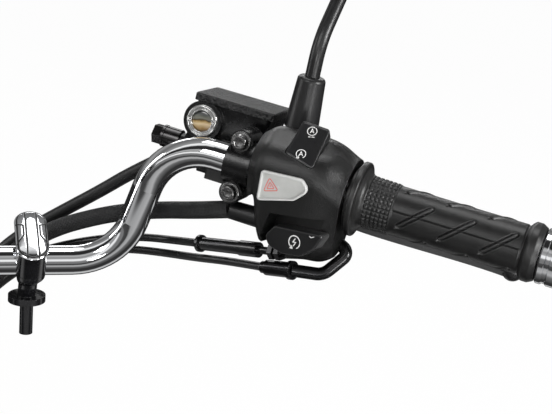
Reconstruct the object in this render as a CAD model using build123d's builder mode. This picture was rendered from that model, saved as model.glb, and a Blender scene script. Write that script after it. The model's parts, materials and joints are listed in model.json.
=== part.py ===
from build123d import *
import math
import os

# Handlebar assembly of a motor scooter, in millimetres.
# X points to the rider's right, Y forward and Z up.  The origin lies midway between the feet of the two
# risers, on the plane of the top yoke that they are bolted to.

os.makedirs("parts", exist_ok=True)

# ---------------------------------------------------------------- driving dimensions
bar_diameter = 22.2
bar_wall = 2.3
bar_back = 17.75               # bar's middle behind the riser feet
bar_height = 38.06             # and above them
bar_half_flat = 106.0          # centre line's lower corner, from the middle
bar_rise = 96.8                # upper corner above the middle of the bar
bar_spread = 28.0              # upper corner outboard of the lower one
bar_sweep = 18.5               # upper corner behind the lower one
lower_bend = 45.0
upper_bend = 48.0
pull_back = 33.7               # degrees that the outer ends point backwards
end_droop = 7.8                # degrees that the outer ends point down
clamp_offset = 43.0            # from the upper corner to where the controls start
bar_end_at = 234.0             # length of the outer straight from there
fit = 0.15                     # gap between clamped or bored pieces
seam = 0.3                     # gap between halves and between neighbours
through = 200.0                # long enough for any cut that passes right through

bar_radius = bar_diameter / 2
bar_centre = Vector(0, -bar_back, bar_height)


def save(builder, name):
    """Label a finished piece and write it as its own STEP file."""
    builder.part.label = name
    export_step(builder.part, f"parts/{name}.step")


def save_pair(builder, name):
    """Write a right-hand piece and its mirror image for the left."""
    save(builder, name + "_right")
    save_left(builder, name + "_left")


def save_left(builder, name):
    """Write only the left-hand mirror image of a piece made on the right."""
    with BuildPart() as twin:
        mirror(builder.part, about=Plane.YZ)
    save(twin, name)


# ---------------------------------------------------------------- frame of the right-hand controls
# Local x is forward, y up and z outboard along the bar.
pull = math.radians(pull_back)
droop = math.radians(end_droop)
outward = Vector(math.cos(pull) * math.cos(droop), -math.sin(pull) * math.cos(droop), -math.sin(droop))
forward = Vector(math.sin(pull), math.cos(pull), 0)
lower_corner = bar_centre + Vector(bar_half_flat, 0, 0)
upper_corner = lower_corner + Vector(bar_spread, -bar_sweep, bar_rise)
clamp_point = upper_corner + outward * clamp_offset
controls = Plane(origin=clamp_point, x_dir=forward, z_dir=outward)


def facing(base, x, y, along, rotation):
    """Plane at a place in another plane's frame, turned by three angles."""
    return Plane(base.location * Location((x, y, along), rotation))


def placed(x, y, along):
    """Point given in the frame of the controls."""
    return controls.from_local_coords(Vector(x, y, along))


def mirrored(point):
    return Vector(-point.X, point.Y, point.Z)


def top_edges(builder, plane):
    """Edges of a piece that lie furthest along a plane's normal."""
    return builder.edges().group_by(Axis(plane.origin, plane.z_dir))[-1]


# ---------------------------------------------------------------- handlebar tube
bar_tip = clamp_point + outward * bar_end_at
with BuildPart() as handlebar:
    with BuildLine() as bar_line:
        FilletPolyline(
            mirrored(bar_tip), mirrored(upper_corner), mirrored(lower_corner),
            lower_corner, upper_corner, bar_tip,
            radius=[upper_bend, lower_bend, lower_bend, upper_bend],
        )
    with BuildSketch(Plane(origin=bar_line.wires()[0] @ 0, z_dir=bar_line.wires()[0] % 0)):
        Circle(bar_radius)
        Circle(bar_radius - bar_wall, mode=Mode.SUBTRACT)
    sweep()
save(handlebar, "handlebar_tube")

# ---------------------------------------------------------------- risers, clamps and chrome caps
# Each is made on the right and mirrored, so that a pair is one piece of the assembly.
riser_spacing = 82.0
riser_lean = 28.0              # degrees backwards
riser_width = 21.5
riser_depth = 47.0
riser_rim = 4.0                # straight part below the split
riser_drop = 20.0              # riser block below the bar's middle
riser_heel_radius = 8.5       # round lower end of the tapered block
clamp_forward = 3.0            # middle of the clamp ahead of the bar
clamp_cap_height = 22.5        # upper clamp above the bar's middle
cap_margin = 1.2               # chrome cap beyond the clamp all round
cap_thickness = 4.0
cap_edge = 3.2                 # rounding on top of the chrome cap
neck_radius = 7.0
foot_radius = 14.0
foot_thickness = 5.0
stud_radius = 5.0
stud_length = 26.0

lean = math.radians(riser_lean)
riser_length = bar_height / math.cos(lean)
riser_x = riser_spacing / 2
clamp_axis = Plane(
    origin=bar_centre + Vector(riser_x, 0, 0),
    x_dir=(1, 0, 0),
    z_dir=(0, -math.sin(lean), math.cos(lean)),
)
across_bar = Plane(origin=clamp_axis.origin, x_dir=(0, 1, 0), z_dir=(1, 0, 0))
with BuildPart() as risers:
    with BuildSketch(clamp_axis.offset(-riser_drop)):
        Circle(riser_heel_radius)
    with BuildSketch(clamp_axis.offset(-riser_rim)):
        with Locations((0, clamp_forward)):
            SlotOverall(riser_depth, riser_width, rotation=90)
    loft()
    with BuildSketch(clamp_axis.offset(-riser_rim)):
        with Locations((0, clamp_forward)):
            SlotOverall(riser_depth, riser_width, rotation=90)
    extrude(amount=riser_rim - seam / 2)
    with BuildSketch(clamp_axis.offset(-riser_length - neck_radius)):
        Circle(neck_radius)
    extrude(amount=riser_length + neck_radius - riser_drop)
    split(bisect_by=Plane.XY, keep=Keep.TOP)
    with BuildSketch(Plane.XY):
        with Locations((riser_x, 0)):
            Circle(foot_radius)
    extrude(amount=foot_thickness)
    with BuildSketch(Plane.XY.offset(-stud_length)):
        with Locations((riser_x, 0)):
            Circle(stud_radius)
    extrude(amount=stud_length)
    with BuildSketch(across_bar.offset(-riser_width)):
        Circle(bar_radius + fit)
    extrude(amount=2 * riser_width, mode=Mode.SUBTRACT)
    mirror(about=Plane.YZ)
save(risers, "risers")

with BuildPart() as bar_caps:
    with BuildSketch(clamp_axis.offset(seam / 2)):
        with Locations((0, clamp_forward)):
            SlotOverall(riser_depth, riser_width, rotation=90)
    extrude(amount=clamp_cap_height - seam / 2)
    with BuildSketch(across_bar.offset(-riser_width)):
        Circle(bar_radius + fit)
    extrude(amount=2 * riser_width, mode=Mode.SUBTRACT)
    mirror(about=Plane.YZ)
save(bar_caps, "riser_clamps")

with BuildPart() as chrome_caps:
    with BuildSketch(clamp_axis.offset(clamp_cap_height)):
        with Locations((0, clamp_forward)):
            SlotOverall(riser_depth + 2 * cap_margin, riser_width + 2 * cap_margin, rotation=90)
    extrude(amount=cap_thickness)
    fillet(top_edges(chrome_caps, clamp_axis), radius=cap_edge)
    mirror(about=Plane.YZ)
save(chrome_caps, "riser_caps")

# ---------------------------------------------------------------- brake master cylinder
# The tank frame is the frame of the controls, rolled forward about the bar.
tank_tilt = 4.6
clamp_start = 7.5              # along the bar
clamp_width = 19.0
clamp_outer = 16.5
clamp_bolt_rises = (16.75, -20.5)  # upper and lower bolt, from the bar's middle
clamp_bolt_at = 15.5           # along the bar
clamp_boss_radius = 8.3
clamp_boss_front = 14.0        # from the split to the front end of the bosses
clamp_thickness = 9.5          # from the split to the face under the bolt heads
bolt_radius = 3.0
bolt_seat_radius = 8.2
bolt_depth = 8.5               # thread in the front half
bore_x, bore_y = 25.3, -3.0    # cylinder's axis in the tank frame
bore_radius = 10.5
bore_start, bore_end = -36.0, 27.5
bore_web = 16.8                # web between the clamp and the cylinder
inlet_radius = 6.0
inlet_length = 5.0
banjo_bolt_radius = 5.0
banjo_bolt_depth = 6.0
tank_front, tank_back = 60.0, 20.0
tank_near, tank_far = -34.0, 24.5
tank_top, tank_bottom = 31.0, 5.0
tank_taper = 3.0
tank_corner, tank_foot_corner = 3.0, 5.0
lid_overhang = 1.8
lid_thickness = 5.6
lid_seat = 0.1                 # gasket between tank and lid
lid_chamfer = 1.0
sight_at, sight_y = -25.0, 17.8
sight_boss_radius = 14.6
sight_boss_face = 15.5
sight_boss_root = 6.0          # boss reaches this far into the tank's wall
sight_ring_radius = 11.8
sight_ring_proud = 2.2
sight_rim = 1.6                # width of the ring's outer and inner rims
sight_groove = 0.9             # depth between the two rims
sight_glass_radius = 7.6
sight_glass_proud = 1.0
sight_recess = 3.0
sight_floor_gap = 0.2
lever_droop = 42.0             # lever plane turned down about the cylinder
pivot_reach = 24.0             # lever pivot ahead of the cylinder's axis
pivot_at = 40.0                # along the bar
pivot_radius = 4.0
lever_height = 10.0
lever_gap = 0.4
plate_thickness = 4.6
plate_root, plate_heel = 18.0, 6.0
hub_radius = 9.0
arm_bottom, arm_thickness = 3.0, 13.0
arm_root_x, arm_root_at = 26.0, 20.0
mirror_x, mirror_at = 28.0, 45.5
mirror_boss_radius = 9.5
mirror_boss_top = 29.5
passing_gap = 2.2              # round the bar, where the casting only passes it

tank_frame = facing(controls, 0, 0, 0, (0, 0, -tank_tilt))
tank_up = facing(tank_frame, 0, 0, 0, (-90, 0, 0))       # local x forward, y inboard, z up
control_up = facing(controls, 0, 0, 0, (-90, 0, 0))
lever_frame = Plane(
    origin=tank_frame.from_local_coords(Vector(bore_x, bore_y, 0)),
    x_dir=facing(controls, 0, 0, 0, (0, 0, -lever_droop)).x_dir,
    z_dir=outward,
)
lever_up = facing(lever_frame, 0, 0, 0, (-90, 0, 0))
tank_depth = tank_front - tank_back
tank_length = tank_far - tank_near
tank_middle = ((tank_front + tank_back) / 2, -(tank_far + tank_near) / 2)


def bolt_plane(x, rise, turn=90):
    """Plane across a clamp bolt, looking forward or, turned the other way, back."""
    return facing(tank_frame, x, rise, clamp_bolt_at, (0, turn, 0))


def sight_plane(x):
    """Plane across the sight glass, looking forward."""
    return facing(tank_frame, x, sight_y, sight_at, (0, 90, 0))


def bore_plane(along, turn=0):
    """Plane across the cylinder's bore, looking outboard or, turned round, inboard."""
    return facing(tank_frame, bore_x, bore_y, along, (0, turn, 0))


def pivot_plane(level):
    """Plane across the lever's pivot, at a level above the lever's middle."""
    return facing(lever_up, pivot_reach, -pivot_at, level, (0, 0, 0))


with BuildPart() as master:
    with BuildSketch(tank_up.offset(tank_bottom)):
        with Locations(tank_middle):
            RectangleRounded(tank_depth - 2 * tank_taper, tank_length - 2 * tank_taper, tank_foot_corner)
    with BuildSketch(tank_up.offset(tank_top)):
        with Locations(tank_middle):
            RectangleRounded(tank_depth, tank_length, tank_corner)
    loft()
    # cylinder and its inlet neck
    with BuildSketch(bore_plane(bore_start)):
        Circle(bore_radius)
    extrude(amount=bore_end - bore_start)
    with BuildSketch(bore_plane(bore_start - inlet_length)):
        Circle(inlet_radius)
    extrude(amount=inlet_length + inlet_radius / 2)
    # front half of the bar clamp, with its web and bolt bosses
    with BuildSketch(tank_frame.offset(clamp_start)):
        Circle(clamp_outer)
        with Locations((clamp_outer, 0)):
            Rectangle(clamp_outer, bore_web)
        Circle(bar_radius + fit, mode=Mode.SUBTRACT)
        with Locations((-clamp_outer + seam / 2, 0)):
            Rectangle(2 * clamp_outer, 4 * clamp_outer, mode=Mode.SUBTRACT)
    extrude(amount=clamp_width)
    for rise in clamp_bolt_rises:
        with BuildSketch(bolt_plane(seam / 2, rise)):
            Circle(clamp_boss_radius)
        extrude(amount=clamp_boss_front - seam / 2)
    # boss of the sight glass, cut flat under the lid
    with BuildSketch(sight_plane(sight_boss_face)):
        Circle(sight_boss_radius)
    extrude(amount=tank_back - sight_boss_face + sight_boss_root)
    split(bisect_by=tank_up.offset(tank_top), keep=Keep.BOTTOM)
    # arm and boss that carry the mirror
    with BuildSketch(control_up.offset(arm_bottom)):
        with Locations((mirror_x, -mirror_at), (arm_root_x, -arm_root_at)):
            Circle(mirror_boss_radius)
        make_hull()
    extrude(amount=arm_thickness)
    with BuildSketch(control_up.offset(arm_bottom)):
        with Locations((mirror_x, -mirror_at)):
            Circle(mirror_boss_radius)
    extrude(amount=mirror_boss_top - arm_bottom)
    # two plates that hold the lever's pivot
    for level in (lever_height / 2 + lever_gap, -lever_height / 2 - lever_gap - plate_thickness):
        with BuildSketch(lever_up.offset(level)):
            with Locations((0, -plate_root), (pivot_reach, -pivot_at), (plate_heel, -pivot_at)):
                Circle(hub_radius)
            make_hull()
        extrude(amount=plate_thickness)
    # holes: bar, pivot, clamp bolts, sight glass and banjo bolt
    with BuildSketch(controls.offset(clamp_start)):
        Circle(bar_radius + passing_gap)
    extrude(amount=-through, mode=Mode.SUBTRACT)
    with BuildSketch(controls.offset(clamp_start)):
        Circle(bar_radius + fit)
    extrude(amount=through, mode=Mode.SUBTRACT)
    with BuildSketch(pivot_plane(-through / 2)):
        Circle(pivot_radius + fit)
    extrude(amount=through, mode=Mode.SUBTRACT)
    for rise in clamp_bolt_rises:
        with BuildSketch(bolt_plane(0, rise)):
            Circle(bolt_radius + fit)
        extrude(amount=bolt_depth, mode=Mode.SUBTRACT)
    with BuildSketch(sight_plane(sight_boss_face)):
        Circle(sight_ring_radius + fit)
    extrude(amount=sight_recess, mode=Mode.SUBTRACT)
    with BuildSketch(bore_plane(bore_start - inlet_length)):
        Circle(banjo_bolt_radius + fit)
    extrude(amount=inlet_length + banjo_bolt_depth, mode=Mode.SUBTRACT)
save_pair(master, "master_cylinder")

with BuildPart() as lid:
    with BuildSketch(tank_up.offset(tank_top + lid_seat)):
        with Locations(tank_middle):
            RectangleRounded(tank_depth + 2 * lid_overhang, tank_length + 2 * lid_overhang, tank_corner)
    extrude(amount=lid_thickness)
    chamfer(top_edges(lid, tank_up), length=lid_chamfer)
save_pair(lid, "reservoir_lid")

with BuildPart() as sight_ring:
    with BuildSketch(sight_plane(sight_boss_face - sight_ring_proud)):
        Circle(sight_ring_radius)
        Circle(sight_glass_radius, mode=Mode.SUBTRACT)
    extrude(amount=sight_ring_proud + sight_recess - sight_floor_gap)
    with BuildSketch(sight_plane(sight_boss_face - sight_ring_proud)):
        Circle(sight_ring_radius - sight_rim)
        Circle(sight_glass_radius + sight_rim / 2, mode=Mode.SUBTRACT)
    extrude(amount=sight_groove, mode=Mode.SUBTRACT)
save_pair(sight_ring, "sight_ring")

with BuildPart() as sight_glass:
    with BuildSketch(sight_plane(sight_boss_face - sight_glass_proud)):
        Circle(sight_glass_radius - fit)
    extrude(amount=sight_glass_proud + sight_recess - sight_floor_gap)
save_pair(sight_glass, "sight_glass")

# rear half of the bar clamp, spot-faced under its two flanged bolts
with BuildPart() as bar_clamp:
    with BuildSketch(tank_frame.offset(clamp_start)):
        Circle(clamp_outer)
        Circle(bar_radius + fit, mode=Mode.SUBTRACT)
        with Locations((clamp_outer - seam / 2, 0)):
            Rectangle(2 * clamp_outer, 4 * clamp_outer, mode=Mode.SUBTRACT)
    extrude(amount=clamp_width)
    for rise in clamp_bolt_rises:
        with BuildSketch(bolt_plane(-clamp_thickness, rise)):
            Circle(clamp_boss_radius)
        extrude(amount=clamp_thickness - seam / 2)
    with BuildSketch(controls.offset(clamp_start)):
        Circle(bar_radius + fit)
    extrude(amount=clamp_width, mode=Mode.SUBTRACT)
    for rise in clamp_bolt_rises:
        with BuildSketch(bolt_plane(-clamp_thickness, rise)):
            Circle(bolt_radius + fit)
        extrude(amount=clamp_thickness, mode=Mode.SUBTRACT)
        with BuildSketch(bolt_plane(-clamp_thickness, rise, -90)):
            Circle(bolt_seat_radius)
        extrude(amount=clamp_thickness, mode=Mode.SUBTRACT)
save_pair(bar_clamp, "bar_clamp")

# each head is a stack of washer face, flange and hexagon, as (radius, height)
washer_face = (7.4, 1.6)
flange_face = (5.8, 1.2)
hexagon = (5.2, 3.4)
with BuildPart() as clamp_bolts:
    for rise in clamp_bolt_rises:
        head = bolt_plane(-clamp_thickness - seam / 2, rise, -90)
        with BuildSketch(head):
            Circle(washer_face[0])
        extrude(amount=washer_face[1])
        with BuildSketch(head.offset(washer_face[1])):
            Circle(flange_face[0])
        extrude(amount=flange_face[1])
        with BuildSketch(head.offset(washer_face[1] + flange_face[1])):
            RegularPolygon(hexagon[0], 6)
        extrude(amount=hexagon[1])
        with BuildSketch(head):
            Circle(bolt_radius)
        extrude(amount=-clamp_thickness - bolt_depth)
save_pair(clamp_bolts, "clamp_bolts")

# ---------------------------------------------------------------- brake lever and its pivot
lever_tip_at = 214.0
ball_reach = 47.0
ball_radius = 8.0
lug_radius, lug_reach, lug_at = 6.5, 28.0, 52.0
cam_radius, cam_reach, cam_at = 4.5, 12.0, 38.0
# edges of the blade, as (reach ahead of the cylinder, distance along the bar)
blade_inner = [(16, 44), (25, 60), (34, 82), (37, 115), (38, 165), (43, 210)]
blade_outer = [(31, 38), (39, 56), (49, 82), (52, 115), (50, 165), (51, 210)]
pivot_nut_radius, pivot_nut_height = 6.4, 5.0
pivot_head_radius, pivot_head_height = 7.2, 3.5

with BuildPart() as lever:
    with BuildSketch(lever_up.offset(-lever_height / 2)):
        with Locations((pivot_reach, -pivot_at)):
            Circle(hub_radius)
        with Locations((lug_reach, -lug_at)):
            Circle(lug_radius)
        with Locations((cam_reach, -cam_at)):
            Circle(cam_radius)
        make_hull()
    extrude(amount=lever_height)
    with BuildSketch(lever_up.offset(-lever_height / 2)):
        with BuildLine():
            inner = Spline(*[(reach, -along) for reach, along in blade_inner])
            outer = Spline(*[(reach, -along) for reach, along in blade_outer])
            Line(inner @ 0, outer @ 0)
            Line(inner @ 1, outer @ 1)
        make_face()
    extrude(amount=lever_height)
    with Locations(lever_frame.from_local_coords(Vector(ball_reach, 0, lever_tip_at))):
        Sphere(ball_radius)
    with BuildSketch(pivot_plane(-lever_height)):
        Circle(pivot_radius + fit)
    extrude(amount=2 * lever_height, mode=Mode.SUBTRACT)
save_pair(lever, "brake_lever")

bracket_half = lever_height / 2 + lever_gap + plate_thickness
with BuildPart() as pivot:
    with BuildSketch(pivot_plane(-bracket_half - pivot_nut_height)):
        Circle(pivot_radius)
    extrude(amount=2 * bracket_half + pivot_nut_height + seam)
    with BuildSketch(pivot_plane(bracket_half + seam)):
        Circle(pivot_head_radius)
    extrude(amount=pivot_head_height)
    with BuildSketch(pivot_plane(-bracket_half - pivot_nut_height - seam)):
        RegularPolygon(pivot_nut_radius, 6)
    extrude(amount=pivot_nut_height)
save_pair(pivot, "lever_pivot")

# ---------------------------------------------------------------- brake light switch under the right cylinder
light_switch_depth = 12.0
light_switch_length = 24.0
light_switch_height = 10.0
light_switch_corner = 2.0
light_switch_at = -4.0
terminal_radius, terminal_length = 2.6, 8.0

switch_top = bore_y - bore_radius - fit
terminal_at = light_switch_length / 2 - light_switch_at
with BuildPart() as light_switch:
    with BuildSketch(tank_up.offset(switch_top)):
        with Locations((bore_x, -light_switch_at)):
            RectangleRounded(light_switch_depth, light_switch_length, light_switch_corner)
    extrude(amount=-light_switch_height)
    with BuildSketch(facing(tank_up, bore_x, terminal_at, switch_top - light_switch_height / 2, (-90, 0, 0))):
        Circle(terminal_radius)
    extrude(amount=terminal_length)
save(light_switch, "brake_light_switch")

# ---------------------------------------------------------------- mirrors
boot_height = 38.0
boot_lower, boot_upper = 12.4, 10.0
boot_dome = 3.0
boot_floor = 2.0
stem_radius = 5.3
stem_rise = 26.0               # straight part above the boot
stem_knee = Vector(28, 24, 52)         # from the top of the straight part
stem_approach = Vector(-34, 46, -14)   # from the ball joint
stem_behind = Vector(0, 40, 0)         # from the ball joint
stem_bends = [45.0, 40.0, 22.0, 20.0]
joint_ball, joint_cup = 6.5, 9.5
joint_place = Vector(0, 10, -4)        # from the middle of the head
cup_open = 1.0                 # cup and socket reach this far past the ball's middle
head_centre = Vector(338, -70, 322)
head_width, head_height, head_depth = 152.0, 94.0, 24.0
head_corner, head_edge = 38.0, 16.0
shell_wall = 2.5
socket_opening = 34.0
glass_thickness = 2.5
glass_gap = 0.25               # round the glass
glass_back_gap = 0.3           # behind it
glass_inset = 0.4              # behind the rim

ball_joint = head_centre + joint_place
boot_base = facing(controls, mirror_x, mirror_boss_top + seam, mirror_at, (-90, 0, 0))
with BuildPart() as boot:
    with BuildSketch(boot_base):
        Circle(boot_lower)
    with BuildSketch(boot_base.offset(boot_height)):
        Circle(boot_upper)
    loft()
    fillet(top_edges(boot, boot_base), radius=boot_dome)
    with BuildSketch(boot_base.offset(boot_floor)):
        Circle(stem_radius + fit)
    extrude(amount=boot_height, mode=Mode.SUBTRACT)
save_pair(boot, "mirror_boot")

stem_top = boot_base.offset(boot_height + stem_rise).origin
with BuildPart() as stem:
    with BuildLine() as stem_line:
        FilletPolyline(
            boot_base.offset(boot_floor + fit).origin, stem_top, stem_top + stem_knee,
            ball_joint + stem_approach, ball_joint + stem_behind, ball_joint,
            radius=stem_bends,
        )
    stem_start = stem_line.wires()[0]
    with BuildSketch(Plane(origin=stem_start @ 0, z_dir=stem_start % 0)):
        Circle(stem_radius)
    sweep()
    with Locations(ball_joint):
        Sphere(joint_ball)
save_pair(stem, "mirror_stem")

with BuildPart() as cup:
    with Locations(ball_joint):
        Sphere(joint_cup)
        Sphere(joint_ball + seam, mode=Mode.SUBTRACT)
    with Locations(ball_joint + Vector(0, cup_open + joint_cup, 0)):
        Box(4 * joint_cup, 2 * joint_cup, 4 * joint_cup, mode=Mode.SUBTRACT)
save_pair(cup, "mirror_cup")

head_front = Plane(origin=head_centre - Vector(0, head_depth / 2, 0), x_dir=(1, 0, 0), z_dir=(0, 1, 0))
with BuildPart() as shell:
    with BuildSketch(head_front):
        RectangleRounded(head_width, head_height, head_corner)
    extrude(amount=head_depth)
    fillet(top_edges(shell, head_front), radius=head_edge)
    with BuildSketch(head_front):
        RectangleRounded(head_width - 2 * shell_wall, head_height - 2 * shell_wall, head_corner - shell_wall)
    extrude(amount=glass_inset + glass_thickness + glass_back_gap, mode=Mode.SUBTRACT)
    with Locations(ball_joint + Vector(0, cup_open + head_depth, 0)):
        Box(socket_opening, 2 * head_depth, socket_opening, mode=Mode.SUBTRACT)
    with Locations(ball_joint):
        Sphere(joint_cup + seam, mode=Mode.SUBTRACT)
save_pair(shell, "mirror_shell")

glass_margin = shell_wall + glass_gap
glass_corner = head_corner - glass_margin
with BuildPart() as mirror_glass:
    with BuildSketch(head_front.offset(glass_inset)):
        RectangleRounded(head_width - 2 * glass_margin, head_height - 2 * glass_margin, glass_corner)
    extrude(amount=glass_thickness)
save_pair(mirror_glass, "mirror_glass")

# ---------------------------------------------------------------- switch housings
housing_start, housing_end = 30.0, 99.0
# four rounded corners of the housing's outline, as (x, y, radius), at six places along the bar
housing_sections = [
    (housing_start, [(-10, 8, 16), (-3, 12, 16), (2, -6, 12), (-8, -4, 14)]),
    (40.0, [(-13, 10, 20), (-3, 18, 17), (4, -26, 10), (-12, -15, 15)]),
    (48.0, [(-13, 10, 20.5), (-3, 18, 17.5), (5, -36, 10), (-12, -31, 17)]),
    (60.0, [(-13, 10, 20.5), (-3, 18, 18), (5, -40, 10), (-12, -36, 18)]),
    (82.0, [(-9, 8, 23), (0, 10, 24), (6, -36, 11), (-11, -32, 17.5)]),
    (housing_end, [(-2, 0, 25), (1, 1, 25.5), (3, -31.5, 11), (-7, -29.5, 14)]),
]
# rocker in the rear half, facing up and back; corners seen square on, as (along the bar, down the slope)
rocker_turn = 48.0             # degrees up from the back
rocker_face_at = 36.0          # from the bar's middle
rocker_middle = 64.5           # along the bar
rocker_corners = [(56, -28), (76.5, -27), (75.5, 6), (53, 0)]
rocker_rounding = 2.5
rocker_depth = 8.0
# hazard and starter buttons on the back; corners as (along the bar, up, rounding)
hazard_face_x = -33.5
hazard_depth = 6.0
hazard_proud = 1.5
hazard_corners = [(41.8, 10.5, 2.5), (71.5, 12.5, 5), (78, 5.5, 5), (69, -4, 5), (42.6, -11.5, 2.5)]
starter_middle = 76.0          # along the bar
starter_turn = 16.0            # degrees that its face follows the housing inwards
starter_floor_x = -23.0        # floor of its pocket, at its middle
starter_thickness = 10.0
starter_corners = [
    (-23, -37, 4), (-16.5, -27.2, 3), (23.2, -20, 1.8), (18.5, -31.5, 9), (9, -41, 6), (-6, -44.5, 8),
    (-18, -43, 6),
]
ledge_corners = [
    (-25, -37, 3), (-20, -18.5, 2), (16, -13.5, 4), (23.4, -18.8, 1.2), (19.5, -32.5, 9), (9, -50, 6),
    (-22, -50, 6),
]
# throttle cables: the pull cable's adjuster enters a notch at the bottom, the other's elbow the far end
cable_diameter = 6.0
pull_entry = placed(-15, -49, 66)
pull_exit = Vector(161.2, -40, 57.9)
pull_thread = 2.8
return_flange = placed(-14.9, -60, 73)
return_exit = Vector(198.8, -87.6, 55.3)
elbow_low, elbow_outer, elbow_end = placed(-7, -59, 94), placed(3, -41, 107), placed(7, -35.5, 91)
elbow_radius = 4.6
elbow_bends = [12.0, 5.5]
notch_top = 42.0               # below the bar's middle
notch_end = 67.5               # along the bar
notch_height = 30.0
# boot of the switch harness, pushed into the lower inboard corner
harness_diameter = 13.0
harness_exit = Vector(178.9, -61.5, 90.4)
boot_foot = placed(8, -38, 47)
boot_foot_radius, boot_tip_radius = 7.6, 6.9

pull_way = (pull_exit - pull_entry).normalized()
pull_length = (pull_exit - pull_entry).length
return_way = (return_exit - return_flange).normalized()
return_length = (return_exit - return_flange).length
elbow_way = (elbow_outer - elbow_end).normalized()
boot_way = (harness_exit - boot_foot).normalized()
# holes in the housing, as (foot, way out, radius)
housing_holes = [
    (elbow_end - elbow_way * seam, elbow_way, elbow_radius),
    (boot_foot, boot_way, boot_foot_radius),
]
rocker_face = facing(controls, 0, 0, rocker_middle, (0, 0, 90 + rocker_turn))
rocker_out = facing(rocker_face, rocker_face_at, 0, 0, (0, 90, 0))
rocker_shape = [(rocker_middle - along, down, rocker_rounding) for along, down in rocker_corners]
hazard_out = facing(controls, hazard_face_x, 0, 0, (0, -90, 0))     # local x outboard, y up
starter_out = facing(controls, starter_floor_x, 0, starter_middle, (0, -90 - starter_turn, 0))


def housing_body():
    """Solid outline of a switch housing, lofted along the bar and bored for it."""
    with BuildPart(mode=Mode.PRIVATE) as body:
        for place, corners in housing_sections:
            with BuildSketch(controls.offset(place)):
                for x, y, radius in corners:
                    with Locations((x, y)):
                        Circle(radius)
                make_hull()
        loft()
        with BuildSketch(controls.offset(housing_start - seam)):
            Circle(bar_radius + fit)
        extrude(amount=through, mode=Mode.SUBTRACT)
    return body.part


def rounded_outline(corners, grow=0.0):
    """Outline with its own rounding at each corner, given as (x, y, rounding)."""
    with BuildSketch(mode=Mode.PRIVATE) as shape:
        with BuildLine():
            Polyline(*[(x, y) for x, y, rounding in corners], close=True)
        make_face()
        for x, y, rounding in corners:
            fillet(shape.vertices().sort_by_distance((x, y, 0))[0], radius=rounding)
        if grow:
            offset(amount=grow)
    return shape.sketch


housing_outline = housing_body()
rear_cut = facing(controls, -(through + seam) / 2, 0, housing_start, (0, 0, 0))
front_cut = facing(controls, (through + seam) / 2, 0, housing_start, (0, 0, 0))

with BuildPart() as housing_rear:
    add(housing_outline)
    with Locations(rear_cut.location):
        Box(through, through, through, mode=Mode.INTERSECT)
    with BuildSketch(rocker_out.offset(-rocker_depth)):
        add(rounded_outline(rocker_shape, seam))
    extrude(amount=through, mode=Mode.SUBTRACT)

with BuildPart() as housing_rear_right:
    add(housing_rear)
    with BuildSketch(hazard_out.offset(-hazard_depth)):
        add(rounded_outline(hazard_corners, seam))
    extrude(amount=through, mode=Mode.SUBTRACT)
    with BuildSketch(starter_out):
        add(rounded_outline(ledge_corners))
    extrude(amount=through, mode=Mode.SUBTRACT)
    # notch for the pull cable, and holes for its adjuster, for the return cable's elbow and the boot
    with BuildSketch(controls.offset(housing_start - seam)):
        with Locations((-through / 2, -notch_top - notch_height / 2)):
            Rectangle(through, notch_height)
    extrude(amount=notch_end - housing_start + seam, mode=Mode.SUBTRACT)
    with BuildSketch(Plane(origin=pull_entry + pull_way * 2 * pull_thread, z_dir=-pull_way)):
        Circle(pull_thread + fit)
    extrude(amount=4 * pull_thread, mode=Mode.SUBTRACT)
    for foot, way, radius in housing_holes:
        with BuildSketch(Plane(origin=foot, z_dir=way)):
            Circle(radius + fit)
        extrude(amount=through, mode=Mode.SUBTRACT)
save(housing_rear_right, "switch_housing_rear_right")

with BuildPart() as housing_front:
    add(housing_outline)
    with Locations(front_cut.location):
        Box(through, through, through, mode=Mode.INTERSECT)
save_left(housing_front, "switch_housing_front_left")

with BuildPart() as housing_front_right:
    add(housing_front)
    for foot, way, radius in housing_holes:
        with BuildSketch(Plane(origin=foot, z_dir=way)):
            Circle(radius + fit)
        extrude(amount=through, mode=Mode.SUBTRACT)
save(housing_front_right, "switch_housing_front_right")

with BuildPart() as rocker:
    with BuildSketch(rocker_out.offset(seam - rocker_depth)):
        add(rounded_outline(rocker_shape))
    extrude(amount=rocker_depth)
save(rocker, "idle_stop_rocker")
save_left(rocker, "dimmer_rocker")

with BuildPart() as hazard:
    with BuildSketch(hazard_out.offset(seam - hazard_depth)):
        add(rounded_outline(hazard_corners))
    extrude(amount=hazard_depth + hazard_proud)
save(hazard, "hazard_button")

with BuildPart() as starter:
    with BuildSketch(starter_out.offset(seam)):
        add(rounded_outline(starter_corners))
    extrude(amount=starter_thickness)
save(starter, "starter_button")

# ---------------------------------------------------------------- left-hand switches
knob_place = (62.0, 0.0)       # along the bar, height
knob_length, knob_height = 24.0, 15.0
knob_corner = 4.0
knob_proud = 2.0
paddle_length, paddle_width, paddle_proud = 14.0, 6.0, 7.0
horn_place = (-4.0, -31.0)      # from the middle of the starter's place, height
horn_radius = 9.0
horn_thickness = 11.0

with BuildPart() as housing_rear_left:
    add(housing_rear)
    with BuildSketch(hazard_out.offset(-hazard_depth)):
        with Locations(knob_place):
            RectangleRounded(knob_length + 2 * seam, knob_height + 2 * seam, knob_corner)
    extrude(amount=through, mode=Mode.SUBTRACT)
    with BuildSketch(starter_out):
        with Locations(horn_place):
            Circle(horn_radius + seam)
    extrude(amount=through, mode=Mode.SUBTRACT)
save_left(housing_rear_left, "switch_housing_rear_left")

with BuildPart() as turn_switch:
    with BuildSketch(hazard_out.offset(seam - hazard_depth)):
        with Locations(knob_place):
            RectangleRounded(knob_length, knob_height, knob_corner)
    extrude(amount=hazard_depth + knob_proud)
    with BuildSketch(hazard_out):
        with Locations(knob_place):
            SlotOverall(paddle_length, paddle_width, rotation=90)
    extrude(amount=paddle_proud)
save_left(turn_switch, "turn_switch")

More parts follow.
